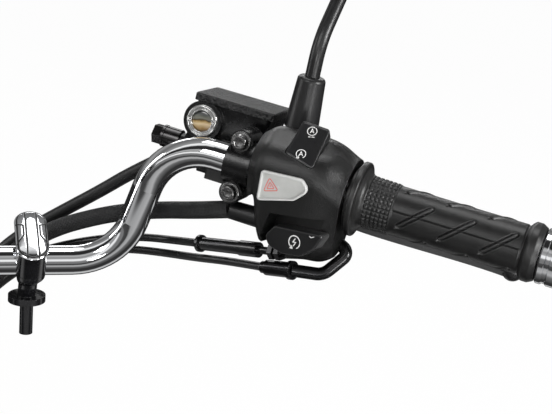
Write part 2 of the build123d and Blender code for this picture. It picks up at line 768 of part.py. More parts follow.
with BuildPart() as horn_button:
    with BuildSketch(starter_out.offset(seam)):
        with Locations(horn_place):
            Circle(horn_radius)
    extrude(amount=horn_thickness)
save_left(horn_button, "horn_button")

# ---------------------------------------------------------------- grips and bar ends
grip_bore = bar_radius + 0.5
grip_gap = 0.8                 # between housing and grip
grip_radius = 17.5
collar_radius = 22.0
collar_width = 2.6
flange_radius = 26.5
flange_width = 4.4
lip_radius = 20.6
rib_rows = 4                   # rows of slanting ribs round the grip
rib_starts = (139.3, 168.8, 198.0)
rib_length = 18.6              # along the bar
rib_turn = 61.0                # degrees round it
rib_angle = 197.0
rib_level = 17.3
rib_radius = 1.3
rib_steps = 4
end_gap = 0.7                  # between grip and bar end
end_radius = 19.2
end_length = 34.0
end_rounding = 6.0
end_groove_depth = 1.0
plug_length = 30.0
plug_gap = 0.3

grip_start = housing_end + grip_gap
grip_end = bar_end_at + 0.5
side_on = Plane(origin=controls.origin, x_dir=forward, z_dir=-controls.y_dir)   # x radial, y along the bar
bar_axis = Axis(controls.origin, outward)
flange_start = grip_start + collar_width
flange_end = flange_start + flange_width
with BuildPart() as grip:
    with BuildSketch(side_on):
        with BuildLine():
            Polyline(
                (grip_bore, grip_start), (collar_radius, grip_start), (collar_radius, flange_start),
                (flange_radius - 1, flange_start), (flange_radius, flange_start + 1),
                (flange_radius, flange_end - 1.4), (flange_radius - 1.6, flange_end),
            )
            ThreePointArc(
                (flange_radius - 1.6, flange_end), (grip_radius + 2.9, flange_end + 2.5),
                (grip_radius + 0.7, flange_end + 8),
            )
            Polyline(
                (grip_radius + 0.7, flange_end + 8), (grip_radius + 0.4, 131.5), (grip_radius, 132.5),
                (grip_radius - 0.3, 180), (grip_radius, 222), (lip_radius - 0.4, 225.5), (lip_radius, 228),
                (lip_radius - 0.4, 232), (lip_radius - 1.8, grip_end), (grip_bore, grip_end),
                (grip_bore, grip_start),
            )
        make_face()
    revolve(axis=bar_axis)
    for row in range(rib_rows):
        for start in rib_starts:
            places = []
            for step in range(rib_steps + 1):
                share = step / rib_steps
                angle = math.radians(rib_angle - share * rib_turn + row * 360 / rib_rows)
                places.append(placed(
                    rib_level * math.cos(angle), rib_level * math.sin(angle), start + share * rib_length))
            with BuildLine() as rib_line:
                Spline(*places)
            with BuildSketch(Plane(origin=rib_line.line @ 0, z_dir=rib_line.line % 0)):
                Circle(rib_radius)
            sweep(path=rib_line.line)
save_pair(grip, "grip")

end_start = grip_end + end_gap
plug_start = bar_end_at - plug_length
plug_radius = bar_radius - bar_wall - plug_gap
groove_radius = end_radius - end_groove_depth
with BuildPart() as bar_end:
    with BuildSketch(side_on):
        with BuildLine():
            Polyline(
                (0, plug_start), (plug_radius, plug_start), (plug_radius, end_start),
                (groove_radius, end_start), (end_radius, end_start + 1), (end_radius, end_start + 4),
                (groove_radius, end_start + 5), (groove_radius, end_start + 7), (end_radius, end_start + 8),
                (end_radius, end_start + end_length - end_rounding),
            )
            ThreePointArc(
                (end_radius, end_start + end_length - end_rounding),
                (end_radius - 0.3 * end_rounding, end_start + end_length - 0.3 * end_rounding),
                (end_radius - end_rounding, end_start + end_length),
            )
            Polyline(
                (end_radius - end_rounding, end_start + end_length), (0, end_start + end_length),
                (0, plug_start),
            )
        make_face()
    revolve(axis=bar_axis)
save_pair(bar_end, "bar_end")

# ---------------------------------------------------------------- banjo of the front brake hose
banjo_width = 12.0
banjo_radius = 7.8
banjo_neck = 13.0              # straight down from the eye before the bend
banjo_neck_radius = 4.0
banjo_neck_bend = 5.0
crimp_radius, crimp_length = 5.8, 10.0
bolt_head_radius, bolt_head_height = 7.6, 7.0
washer_radius, washer_height = 8.2, 2.0
hose_exit = Vector(133.8, -3.2, 110.6)

banjo_start = bore_start - inlet_length - fit
banjo_plane = bore_plane(banjo_start, 180)
banjo_centre = banjo_plane.offset(banjo_width / 2).origin
banjo_bend = banjo_centre - controls.y_dir * banjo_neck
with BuildPart() as banjo:
    with BuildSketch(banjo_plane):
        Circle(banjo_radius)
    extrude(amount=banjo_width)
    with BuildLine() as neck_line:
        FilletPolyline(banjo_centre, banjo_bend, hose_exit, radius=banjo_neck_bend)
    with BuildSketch(Plane(origin=banjo_centre, z_dir=neck_line.wires()[0] % 0)):
        Circle(banjo_neck_radius)
    sweep()
    with BuildSketch(Plane(origin=hose_exit, z_dir=neck_line.wires()[0] % 1)):
        Circle(crimp_radius)
    extrude(amount=-crimp_length)
    with BuildSketch(banjo_plane.offset(-seam)):
        Circle(banjo_bolt_radius + fit)
    extrude(amount=banjo_width + 2 * seam, mode=Mode.SUBTRACT)
save(banjo, "hose_banjo")

with BuildPart() as banjo_bolt:
    with BuildSketch(bore_plane(bore_start + banjo_bolt_depth - seam, 180)):
        Circle(banjo_bolt_radius)
    extrude(amount=banjo_bolt_depth + inlet_length + banjo_width)
    with BuildSketch(banjo_plane.offset(banjo_width + fit)):
        Circle(washer_radius)
    extrude(amount=washer_height)
    with BuildSketch(banjo_plane.offset(banjo_width + fit + washer_height)):
        RegularPolygon(bolt_head_radius, 6)
    extrude(amount=bolt_head_height)
save(banjo_bolt, "banjo_bolt")

# ---------------------------------------------------------------- ends of the two throttle cables
barrel_start, barrel_radius = 24.0, 5.6
cover_start, cover_radius = 41.0, 4.9
cover_rim, rim_radius = 4.0, 6.4
rim_width = 2.5
nut_starts, nut_radius, nut_height = (3.0, 9.0), 6.0, 4.0
sleeve_length, sleeve_radius = 22.0, 5.6
tail_start, tail_radius = 20.0, 4.4
washer_wide, washer_thick = 6.8, 3.0

# each stretch of the adjuster as (start, end, radius), from the housing down to the cable
adjuster_steps = [
    (-4, 24, pull_thread),
    (barrel_start, cover_start, barrel_radius),
    (cover_start, pull_length, cover_radius),
    (pull_length - cover_rim, pull_length - cover_rim + rim_width, rim_radius),
]
with BuildPart() as adjuster:
    for start, end, radius in adjuster_steps:
        with BuildSketch(Plane(origin=pull_entry + pull_way * start, z_dir=pull_way)):
            Circle(radius)
        extrude(amount=end - start)
    for start in nut_starts:
        with BuildSketch(Plane(origin=pull_entry + pull_way * start, z_dir=pull_way)):
            RegularPolygon(nut_radius, 6)
        extrude(amount=nut_height)
save(adjuster, "cable_adjuster")

elbow_steps = [
    (-washer_thick / 2, washer_thick / 2, washer_wide),
    (0, sleeve_length, sleeve_radius),
    (tail_start, return_length, tail_radius),
]
with BuildPart() as elbow:
    with BuildLine() as elbow_line:
        FilletPolyline(return_flange, elbow_low, elbow_outer, elbow_end, radius=elbow_bends)
    with BuildSketch(Plane(origin=return_flange, z_dir=elbow_line.wires()[0] % 0)):
        Circle(elbow_radius)
    sweep()
    for start, end, radius in elbow_steps:
        with BuildSketch(Plane(origin=return_flange + return_way * start, z_dir=return_way)):
            Circle(radius)
        extrude(amount=end - start)
save(elbow, "cable_elbow")

# ---------------------------------------------------------------- boot of the switch harness
with BuildPart() as harness_boot:
    with BuildSketch(Plane(origin=boot_foot, z_dir=boot_way)):
        Circle(boot_foot_radius)
    with BuildSketch(Plane(origin=harness_exit, z_dir=boot_way)):
        Circle(boot_tip_radius)
    loft()
save(harness_boot, "harness_boot")

# ---------------------------------------------------------------- cords
hose_diameter = 10.0
hose_route = [
    (133.8, -3.2, 110.6), (117.5, 9.2, 98), (97, 20, 81), (75.5, 33, 64), (53, 44, 47),
    (33, 56, 29), (16, 66, 8), (3, 72, -16), (-3, 74, -50),
]
harness_route = [
    (178.9, -61.5, 90.4), (159, -43, 84), (138, -15, 76), (112, 6, 68), (88, 16, 60),
    (62, 22, 50), (38, 25, 35), (20, 25, 15), (10, 24.5, -9), (9.5, 23, -34), (10, 22, -60),
]
pull_route = [
    (161.2, -40, 57.9), (146, -17, 53), (127, 3, 49), (104, 17, 44), (80, 25, 38),
    (56, 31, 30), (34, 35, 18), (14, 36, 1), (-1, 36.5, -20), (-7, 36, -48),
]
return_route = [
    (198.8, -87.6, 55.3), (180, -62, 51.2), (161.8, -40, 46.4), (143, -17, 42.5), (123, 3, 39),
    (101, 19, 34.5), (78, 31, 28), (56, 41, 19), (36, 48, 6), (18, 52, -11), (3, 52.5, -29), (-7, 52, -50),
]
hose_coil_centre = Vector(-58, 79, -70)
hose_coil_radius = 55.0
pull_coil_centre = Vector(-52, 36, -62)
return_coil_centre = Vector(-52, 52, -64)
cable_coil_radius = 36.0
arc_share = 0.45               # of the shorter run beside each point
coil_rounding = 0.3


def cord_tube(points, diameter, name):
    """Plain tube along hand-chosen points, with arcs as large as the runs allow."""
    corners = [Vector(*point) for point in points]
    radii = []
    for before, here, after in zip(corners, corners[1:], corners[2:]):
        turn = math.radians((here - before).get_angle(after - here))
        shorter = min((here - before).length, (after - here).length)
        radii.append(arc_share * shorter / math.tan(turn / 2))
    with BuildPart(mode=Mode.PRIVATE) as tube:
        with BuildLine() as route:
            FilletPolyline(*corners, radius=radii)
        path = route.wires()[0]
        with BuildSketch(Plane(origin=path @ 0, z_dir=path % 0)):
            Circle(diameter / 2)
        sweep()
    section = math.pi * diameter ** 2 / 4
    print(name, "length", round(path.length, 1), "volume/section", round(tube.part.volume / section, 1),
          "least radius", round(min(radii), 1))
    return tube


def coil(centre, mid_radius, radial, width):
    """Outer shape of a round coil hanging in the XZ plane."""
    with BuildPart(mode=Mode.PRIVATE) as ring:
        with BuildSketch(Plane(origin=centre, x_dir=(1, 0, 0), z_dir=(0, 0, 1))):
            with Locations((mid_radius, 0)):
                RectangleRounded(radial, width, min(radial, width) * coil_rounding)
        revolve(axis=Axis(centre, (0, 1, 0)))
    return ring


save(cord_tube(hose_route, hose_diameter, "brake_hose"), "brake_hose")
save(cord_tube(harness_route, harness_diameter, "switch_harness"), "switch_harness")
save(cord_tube(pull_route, cable_diameter, "throttle_cable_pull"), "throttle_cable_pull")
save(cord_tube(return_route, cable_diameter, "throttle_cable_return"), "throttle_cable_return")
save(coil(hose_coil_centre, hose_coil_radius, hose_diameter, 2 * hose_diameter), "brake_hose_coil")
cable_coils = {"throttle_pull_coil": pull_coil_centre, "throttle_return_coil": return_coil_centre}
for coil_name, coil_centre in cable_coils.items():
    save(coil(coil_centre, cable_coil_radius, 4 * cable_diameter, 2 * cable_diameter), coil_name)

# fittings on the far ends, each a stack of rounds as (distance below the coil's middle, length, radius)
cable_fitting = [(17, 6, cable_diameter / 2), (22, 18, 4.2), (40, 6, 1.2), (45, 6, 2.6)]
hose_fitting = [(24, 18, crimp_radius), (40, 10, banjo_neck_radius)]
hose_eye_drop = 55.0
connector_width, connector_depth, connector_length = 20.0, 15.0, 30.0
connector_corner = 3.0

cable_turn = cable_coil_radius + 1.5 * cable_diameter
with BuildPart() as cable_ends:
    for centre in (pull_coil_centre, return_coil_centre):
        for drop, length, radius in cable_fitting:
            place = centre + Vector(cable_turn, cable_diameter / 2, -drop)
            with BuildSketch(Plane(origin=place, z_dir=(0, 0, -1))):
                Circle(radius)
            extrude(amount=length)
save(cable_ends, "throttle_cable_ends")

hose_tail = hose_coil_centre + Vector(hose_coil_radius, hose_diameter / 2, 0)
eye_plane = Plane(origin=hose_tail + Vector(0, banjo_width / 2, -hose_eye_drop), z_dir=(0, -1, 0))
with BuildPart() as hose_end:
    for drop, length, radius in hose_fitting:
        with BuildSketch(Plane(origin=hose_tail - Vector(0, 0, drop), z_dir=(0, 0, -1))):
            Circle(radius)
        extrude(amount=length)
    with BuildSketch(eye_plane):
        Circle(banjo_radius)
    extrude(amount=banjo_width)
    with BuildSketch(eye_plane.offset(-seam)):
        Circle(banjo_bolt_radius + fit)
    extrude(amount=banjo_width + 2 * seam, mode=Mode.SUBTRACT)
save(hose_end, "hose_end")

with BuildPart() as connector:
    with BuildSketch(Plane(origin=harness_route[-1], x_dir=(1, 0, 0), z_dir=(0, 0, -1))):
        RectangleRounded(connector_width, connector_depth, connector_corner)
    extrude(amount=connector_length)
save(connector, "harness_connector")
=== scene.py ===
import json
import math

import bmesh
import bpy
import numpy as np
from mathutils import Matrix, Vector


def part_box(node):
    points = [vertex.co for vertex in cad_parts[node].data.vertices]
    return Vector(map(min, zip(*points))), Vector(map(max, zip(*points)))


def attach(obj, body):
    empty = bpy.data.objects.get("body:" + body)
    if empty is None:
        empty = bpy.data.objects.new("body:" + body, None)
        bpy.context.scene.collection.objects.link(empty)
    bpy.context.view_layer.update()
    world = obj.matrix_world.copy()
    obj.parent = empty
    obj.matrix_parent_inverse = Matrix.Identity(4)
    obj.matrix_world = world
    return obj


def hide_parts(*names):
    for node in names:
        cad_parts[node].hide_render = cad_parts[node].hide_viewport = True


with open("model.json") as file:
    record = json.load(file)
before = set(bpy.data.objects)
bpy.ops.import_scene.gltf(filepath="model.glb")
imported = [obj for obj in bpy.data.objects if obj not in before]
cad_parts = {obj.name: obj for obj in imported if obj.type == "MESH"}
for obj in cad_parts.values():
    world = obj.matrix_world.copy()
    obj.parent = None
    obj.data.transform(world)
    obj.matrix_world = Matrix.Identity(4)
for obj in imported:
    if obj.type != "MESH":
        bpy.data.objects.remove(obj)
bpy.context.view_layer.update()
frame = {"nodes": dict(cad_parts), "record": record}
nodes = frame["nodes"]
scene = bpy.context.scene
print("stage: frame loaded")

# camera behind and a little above the bar, left of the right-hand controls; angles in degrees, lens in millimetres
cameraFacts = {
    "place": (-0.0473, -0.98835, 0.36806), "yaw": 15.663, "pitch": 15.992, "roll": 4.548,
    "lens": 89.9, "sensor": 36,
}


# looks along (sin yaw cos pitch, cos yaw cos pitch, -sin pitch), and is then rolled about that line
def makeCamera(facts):
    yaw, pitch, roll = (math.radians(facts[k]) for k in ("yaw", "pitch", "roll"))
    look = Vector((math.sin(yaw) * math.cos(pitch), math.cos(yaw) * math.cos(pitch), -math.sin(pitch)))
    right = Vector((math.cos(yaw), -math.sin(yaw), 0))
    up = right.cross(look)
    tiltedRight = math.cos(roll) * right + math.sin(roll) * up
    tiltedUp = math.cos(roll) * up - math.sin(roll) * right
    camera = bpy.data.objects.new("camera", bpy.data.cameras.new("camera"))
    camera.data.lens = facts["lens"]
    camera.data.sensor_width = facts["sensor"]
    camera.matrix_world = Matrix.Translation(facts["place"]) @ Matrix(
        (tiltedRight, tiltedUp, -look)).transposed().to_4x4()
    scene.collection.objects.link(camera)
    scene.camera = camera


makeCamera(cameraFacts)
scene.view_settings.view_transform = "Standard"

# pale floor and room; in gloss both show soft bands (place from 0 to 1, brightness), which streak the chrome
stageFacts = {
    "floorLevel": -0.16, "floorSize": 9.0, "paper": 0.9, "paperSeen": 0.975,
    "bandsFrom": -1.0, "bandsTo": 0.6,
    "floorBands": [(0.0, 0.2), (0.06, 0.08), (0.3, 0.05), (0.34, 0.36), (0.42, 0.45), (0.46, 0.16), (0.54, 0.03),
                   (0.6, 0.04), (0.625, 0.6), (0.66, 0.6), (0.69, 0.02), (1.0, 0.02)],
    "roomBands": [(0.0, 0.2), (0.03, 0.35), (0.05, 0.9), (0.11, 1.0), (0.135, 0.4), (0.2, 0.28), (0.24, 0.5),
                  (0.28, 0.4), (0.31, 0.02), (0.45, 0.03), (0.485, 0.8), (0.54, 1.0), (0.575, 0.3), (0.75, 0.14),
                  (0.87, 0.34), (0.93, 0.22), (1.0, 0.02)],
    "roomLight": 0.2,
}

# soft boxes: place, the spot they face and size in metres, power in watts
lightFacts = {
    "top": {"place": (0.32, 0.16, 1.2), "aim": (0.16, 0, 0.08), "size": (0.95, 0.46), "power": 5.5},
    "left": {"place": (-0.78, -0.98, 0.85), "aim": (0.2, -0.05, 0.1), "size": (0.55, 0.5), "power": 4.6},
    "side": {"place": (-1.35, 0.25, 0.35), "aim": (0.2, -0.05, 0.12), "size": (0.26, 1.0), "power": 4.5},
    "low": {"place": (-0.1, -1.35, 0.02), "aim": (0.24, -0.1, 0.12), "size": (0.2, 0.32), "power": 2.6},
    "flank": {"place": (0.44, -0.74, -0.1), "aim": (0.22, -0.07, 0.12), "size": (0.16, 0.36), "power": 1.7},
    "right": {"place": (1.15, -1.0, 0.48), "aim": (0.2, -0.05, 0.12), "size": (0.45, 0.5), "power": 15},
    "behind": {"place": (0.45, 1.4, 0.9), "aim": (0.15, 0, 0.08), "size": (1.5, 0.25), "power": 6},
}


# empty node tree of a material or a world
def nodeTree(owner):
    owner.use_nodes = True
    owner.node_tree.nodes.clear()
    return owner.node_tree


# puts a number or the output of another node into a socket
def feed(tree, socket, value):
    if isinstance(value, bpy.types.NodeSocket):
        tree.links.new(value, socket)
    else:
        socket.default_value = value


# operation of one to three numbers or outputs
def mathNode(tree, operation, *values):
    node = tree.nodes.new("ShaderNodeMath")
    node.operation = operation
    for socket, value in zip(node.inputs, values):
        feed(tree, socket, value)
    return node.outputs[0]


# (value - low) / (high - low), kept in 0..1
def shareNode(tree, value, low, high):
    node = tree.nodes.new("ShaderNodeMapRange")
    for label, given in (("Value", value), ("From Min", low), ("From Max", high)):
        feed(tree, node.inputs[label], given)
    return node.outputs[0]


# a (1 - factor) + b factor, of colours (RGBA) or numbers (FLOAT)
def mixNode(tree, kind, factor, a, b):
    node = tree.nodes.new("ShaderNodeMix")
    node.data_type = kind
    for label, given in (("Factor", factor), ("A", a), ("B", b)):
        feed(tree, node.inputs[label], given)
    return node.outputs["Result"]


# straight steps between stops (place, tone), where a tone is a grey or three channels
def rampNode(tree, value, stops):
    node = tree.nodes.new("ShaderNodeValToRGB")
    elements = node.color_ramp.elements
    while len(elements) < len(stops):
        elements.new(0.5)
    for element, (place, tone) in zip(elements, stops):
        element.position = place
        element.color = (*tone, 1) if isinstance(tone, tuple) else (tone, tone, tone, 1)
    tree.links.new(value, node.inputs[0])
    return node.outputs[0]


# shader a (1 - factor) + b factor
def mixShader(tree, factor, a, b):
    node = tree.nodes.new("ShaderNodeMixShader")
    for socket, given in zip(node.inputs, (factor, a, b)):
        tree.links.new(given, socket)
    return node.outputs[0]


# one axis of a kind of texture coordinate
def axisNode(tree, source, axis):
    split = tree.nodes.new("ShaderNodeSeparateXYZ")
    tree.links.new(tree.nodes.new("ShaderNodeTexCoord").outputs[source], split.inputs[0])
    return split.outputs[axis]


# square sheet; its bands run along y from bandsFrom to bandsTo
def makeFloor(facts):
    half = facts["floorSize"] / 2
    corners = ((-half, -half), (half, -half), (half, half), (-half, half))
    mesh = bpy.data.meshes.new("floor")
    mesh.from_pydata([(x, y, facts["floorLevel"]) for x, y in corners], [], [(0, 1, 2, 3)])
    floor = bpy.data.objects.new("floor", mesh)
    scene.collection.objects.link(floor)
    material = bpy.data.materials.new("floorPaper")
    mesh.materials.append(material)
    tree = nodeTree(material)
    new = tree.nodes.new
    path, paper = new("ShaderNodeLightPath"), new("ShaderNodeBsdfDiffuse")
    glow, dim = new("ShaderNodeEmission"), new("ShaderNodeEmission")
    paper.inputs["Color"].default_value = (facts["paper"],) * 3 + (1,)
    along = shareNode(tree, axisNode(tree, "Object", "Y"), facts["bandsFrom"], facts["bandsTo"])
    feed(tree, dim.inputs["Color"], rampNode(tree, along, facts["floorBands"]))
    seen = mixShader(tree, mathNode(tree, "MULTIPLY", path.outputs["Is Camera Ray"], facts["paperSeen"]),
                     paper.outputs[0], glow.outputs[0])
    mirrored = mixShader(tree, path.outputs["Is Glossy Ray"], seen, dim.outputs[0])
    feed(tree, new("ShaderNodeOutputMaterial").inputs["Surface"], mirrored)


# white where it is seen, banded in gloss by the angle atan2(z, -y), and a soft even light for the rest
def makeRoom(facts):
    world = bpy.data.worlds.new("room")
    scene.world = world
    tree = nodeTree(world)
    new = tree.nodes.new
    path = new("ShaderNodeLightPath")
    room, soft, white = (new("ShaderNodeBackground") for _ in range(3))
    front = mathNode(tree, "MULTIPLY", axisNode(tree, "Generated", "Y"), -1)
    angle = mathNode(tree, "ARCTAN2", axisNode(tree, "Generated", "Z"), front)
    bands = rampNode(tree, mathNode(tree, "DIVIDE", angle, math.pi), facts["roomBands"])
    feed(tree, room.inputs["Color"], bands)
    soft.inputs["Color"].default_value = white.inputs["Color"].default_value = (1, 1, 1, 1)
    soft.inputs["Strength"].default_value = facts["roomLight"]
    light = mixShader(tree, path.outputs["Is Glossy Ray"], soft.outputs[0], room.outputs[0])
    seen = mixShader(tree, path.outputs["Is Camera Ray"], light, white.outputs[0])
    feed(tree, new("ShaderNodeOutputWorld").inputs["Surface"], seen)


# rectangle whose own -z looks from its place to its aim
def makeLight(name, facts):
    light = bpy.data.lights.new(name, "AREA")
    light.shape = "RECTANGLE"
    light.size, light.size_y = facts["size"]
    light.energy = facts["power"]
    lamp = bpy.data.objects.new(name, light)
    place = Vector(facts["place"])
    lamp.matrix_world = Matrix.Translation(place) @ (
        (Vector(facts["aim"]) - place).to_track_quat("-Z", "Y").to_matrix().to_4x4())
    scene.collection.objects.link(lamp)


makeFloor(stageFacts)
makeRoom(stageFacts)
for lightName, facts in lightFacts.items():
    makeLight(lightName, facts)
print("stage: camera, floor and lights made")


# node group with its named inputs and outputs, each (name, kind)
def socketGroup(name, inputs, outputs):
    group = bpy.data.node_groups.new(name, "ShaderNodeTree")
    for label, kind in inputs:
        group.interface.new_socket(label, in_out="INPUT", socket_type="NodeSocket" + kind)
    for label, kind in outputs:
        group.interface.new_socket(label, in_out="OUTPUT", socket_type="NodeSocket" + kind)
    return group, group.nodes.new("NodeGroupInput"), group.nodes.new("NodeGroupOutput")


# values that all finishes share
shaderFacts = {
    "broadDetail": 4, "fineDetail": 2, "finer": 7, "contrast": (0.35, 0.65), "grainDetail": 3, "pebble": -0.8,
    "coatRough": 0.06, "wearAndEdgeHighlight": (0.51, 0.62), "edgeSamples": 4, "grooveShade": (0.25, 0.55),
}


# cloud noise of Object coordinates, 0..1 about 0.5
def noiseNode(tree, scale, detail):
    node = tree.nodes.new("ShaderNodeTexNoise")
    tree.links.new(tree.nodes.new("ShaderNodeTexCoord").outputs["Object"], node.inputs["Vector"])
    feed(tree, node.inputs["Scale"], scale)
    node.inputs["Detail"].default_value = detail
    return node.outputs["Fac"]


# two tones mixed by a broad noise, and a roughness that wanders with a finer one
def makeToneGroup(facts):
    group, given, result = socketGroup(
        "unevenTone",
        [("Tone", "Color"), ("Other", "Color"), ("Patch", "Float"), ("Roughness", "Float"), ("Spread", "Float")],
        [("Color", "Color"), ("Roughness", "Float")])
    broad = noiseNode(group, given.outputs["Patch"], facts["broadDetail"])
    finer = mathNode(group, "MULTIPLY", given.outputs["Patch"], facts["finer"])
    offset = mathNode(group, "SUBTRACT", noiseNode(group, finer, facts["fineDetail"]), 0.5)
    share = shareNode(group, broad, *facts["contrast"])
    tone = mixNode(group, "RGBA", share, given.outputs["Tone"], given.outputs["Other"])
    rough = mathNode(group, "MULTIPLY_ADD", offset, given.outputs["Spread"], given.outputs["Roughness"])
    group.links.new(tone, result.inputs["Color"])
    group.links.new(rough, result.inputs["Roughness"])
    return group


# moulded or cast grain: pebbles of a Voronoi pattern under a fine noise
def makeGrainGroup(facts):
    group, given, result = socketGroup(
        "mouldedGrain", [("Scale", "Float"), ("Depth", "Float"), ("Normal", "Vector")], [("Normal", "Vector")])
    new, link = group.nodes.new, group.links.new
    pebble, bump = new("ShaderNodeTexVoronoi"), new("ShaderNodeBump")
    pebble.feature = "SMOOTH_F1"
    link(new("ShaderNodeTexCoord").outputs["Object"], pebble.inputs["Vector"])
    link(given.outputs["Scale"], pebble.inputs["Scale"])
    noise = noiseNode(group, given.outputs["Scale"], facts["grainDetail"])
    link(mathNode(group, "MULTIPLY_ADD", pebble.outputs["Distance"], facts["pebble"], noise), bump.inputs["Height"])
    link(given.outputs["Depth"], bump.inputs["Distance"])
    link(given.outputs["Normal"], bump.inputs["Normal"])
    link(bump.outputs["Normal"], result.inputs["Normal"])
    return group


toneGroup, grainGroup = makeToneGroup(shaderFacts), makeGrainGroup(shaderFacts)

# finishes, one for each material slot of the record and a few more: two tones and the patches per metre between them,
# roughness and its spread, then metal, coat, grain per metre with its depth, width of softened edges and the pale tone
# of sharp edges (wear on the grip rubber, a painted edge highlight on the button and pale plastics), where the finish
# has them; lengths in metres
finishFacts = {
    "chrome": {"tone": (0.9, 0.905, 0.915), "other": (0.84, 0.85, 0.87), "patch": 9, "rough": 0.055, "spread": 0.03,
               "metal": 1},
    "gloss_black": {"tone": (0.004, 0.004, 0.005), "other": (0.007, 0.007, 0.008), "patch": 30, "rough": 0.14,
                    "spread": 0.08, "coat": 0.5, "edge": 0.0006},
    "cast_black": {"tone": (0.0025, 0.0025, 0.0028), "other": (0.0055, 0.0055, 0.0058), "patch": 45, "rough": 0.25,
                   "spread": 0.16, "grain": 1500, "depth": 0.00006, "edge": 0.0006},
    "lid_black": {"tone": (0.003, 0.003, 0.0032), "other": (0.01, 0.01, 0.0103), "patch": 190, "rough": 0.31,
                  "spread": 0.22, "grain": 520, "depth": 0.0016, "edge": 0.0007},
    "bright_steel": {"tone": (0.74, 0.74, 0.73), "other": (0.64, 0.64, 0.63), "patch": 22, "rough": 0.13,
                     "spread": 0.05, "metal": 0.9},
    "dark_steel": {"tone": (0.035, 0.035, 0.037), "other": (0.06, 0.059, 0.059), "patch": 40, "rough": 0.2,
                   "spread": 0.1, "metal": 0.92, "edge": 0.0004},
    "boltSteel": {"tone": (0.2, 0.2, 0.205), "other": (0.25, 0.248, 0.246), "patch": 30, "rough": 0.16,
                  "spread": 0.05, "metal": 0.95},
    "lever_black": {"tone": (0.009, 0.009, 0.0095), "other": (0.013, 0.013, 0.0135), "patch": 25, "rough": 0.3,
                    "spread": 0.12, "grain": 2400, "depth": 0.00003, "edge": 0.0008},
    "satin_black": {"tone": (0.008, 0.008, 0.0085), "other": (0.012, 0.012, 0.012), "patch": 25, "rough": 0.3,
                    "spread": 0.1, "grain": 2600, "depth": 0.00003, "edge": 0.0006},
    "mirror_silver": {"tone": (0.86, 0.89, 0.9), "other": (0.82, 0.85, 0.87), "patch": 5, "rough": 0.012,
                      "spread": 0.008, "metal": 1},
    "switch_plastic": {"tone": (0.0036, 0.0036, 0.0036), "other": (0.006, 0.006, 0.0058), "patch": 35,
                       "rough": 0.31, "spread": 0.12, "grain": 2100, "depth": 0.00012, "edge": 0.0009},
    # painted edge highlight: the rims of the rockers and the starter turn paler where Pointiness is high
    "button_plastic": {"tone": (0.005, 0.005, 0.0058), "other": (0.008, 0.008, 0.0085), "patch": 60,
                       "rough": 0.3, "spread": 0.1, "grain": 3200, "depth": 0.00003, "edge": 0.0003, "wearAndEdgeHighlight": 0.05},
    # painted edge highlight: the hazard switch's rim and sharp edges turn paler where Pointiness is high
    "pale_plastic": {"tone": (0.5, 0.504, 0.488), "other": (0.43, 0.434, 0.42), "patch": 70, "rough": 0.3,
                     "spread": 0.12, "grain": 2600, "depth": 0.00003, "wearAndEdgeHighlight": 0.72},
    "soft_rubber": {"tone": (0.006, 0.006, 0.0065), "other": (0.01, 0.01, 0.0105), "patch": 40, "rough": 0.36,
                    "spread": 0.14, "grain": 1800, "depth": 0.00005, "edge": 0.0008},
    # wear: the tops of the grip's bumps and ribs turn paler where Pointiness is high
    "grip_rubber": {"tone": (0.005, 0.005, 0.005), "other": (0.0095, 0.0094, 0.0092), "patch": 55, "rough": 0.35,
                    "spread": 0.16, "grain": 2300, "depth": 0.00007, "wearAndEdgeHighlight": 0.04},
    "hose_rubber": {"tone": (0.008, 0.008, 0.0085), "other": (0.013, 0.013, 0.013), "patch": 60, "rough": 0.4,
                    "spread": 0.16, "grain": 1700, "depth": 0.00006},
    "cable_black": {"tone": (0.008, 0.008, 0.0085), "other": (0.014, 0.014, 0.014), "patch": 60, "rough": 0.3,
                    "spread": 0.14, "grain": 2600, "depth": 0.00003},
    "whiteMark": {"tone": (0.92, 0.92, 0.91), "other": (0.8, 0.8, 0.79), "patch": 300, "rough": 0.4,
                  "spread": 0.2},
    "redMark": {"tone": (0.75, 0.07, 0.045), "other": (0.6, 0.05, 0.035), "patch": 300, "rough": 0.4, "spread": 0.2},
}


# a group placed in a material with its values
def groupNode(tree, group, values):
    node = tree.nodes.new("ShaderNodeGroup")
    node.node_tree = group
    for label, value in values.items():
        node.inputs[label].default_value = value
    return node


# uneven tone and roughness, paler where the shape's Pointiness is high (wear on the grip rubber, a painted edge
# highlight on the button and pale plastics), with softened edges under the grain
def makeMaterial(name, facts):
    material = bpy.data.materials.new(name)
    material.use_nodes = True
    tree = material.node_tree
    new, link = tree.nodes.new, tree.links.new
    shader = tree.nodes["Principled BSDF"]
    shader.inputs["Metallic"].default_value = facts.get("metal", 0)
    shader.inputs["Coat Weight"].default_value = facts.get("coat", 0)
    shader.inputs["Coat Roughness"].default_value = shaderFacts["coatRough"]
    tone = groupNode(tree, toneGroup, {"Tone": (*facts["tone"], 1), "Other": (*facts["other"], 1),
                                       "Patch": facts["patch"], "Roughness": facts["rough"],
                                       "Spread": facts["spread"]})
    color = tone.outputs["Color"]
    # pale tone where Pointiness is high: wear on the grip rubber, a painted edge highlight on the button and pale
    # plastics
    if "wearAndEdgeHighlight" in facts:
        high = shareNode(tree, new("ShaderNodeNewGeometry").outputs["Pointiness"], *shaderFacts["wearAndEdgeHighlight"])
        color = mixNode(tree, "RGBA", high, color, (facts["wearAndEdgeHighlight"],) * 3 + (1,))
    link(color, shader.inputs["Base Color"])
    link(tone.outputs["Roughness"], shader.inputs["Roughness"])
    normal = None
    if "edge" in facts:
        edge = new("ShaderNodeBevel")
        edge.samples = shaderFacts["edgeSamples"]
        edge.inputs["Radius"].default_value = facts["edge"]
        normal = edge.outputs["Normal"]
    if "grain" in facts:
        grain = groupNode(tree, grainGroup, {"Scale": facts["grain"], "Depth": facts["depth"]})
        link(normal or new("ShaderNodeNewGeometry").outputs["Normal"], grain.inputs["Normal"])
        normal = grain.outputs["Normal"]
    if normal:
        link(normal, shader.inputs["Normal"])
    return material


materials = {name: makeMaterial(name, facts) for name, facts in finishFacts.items()}


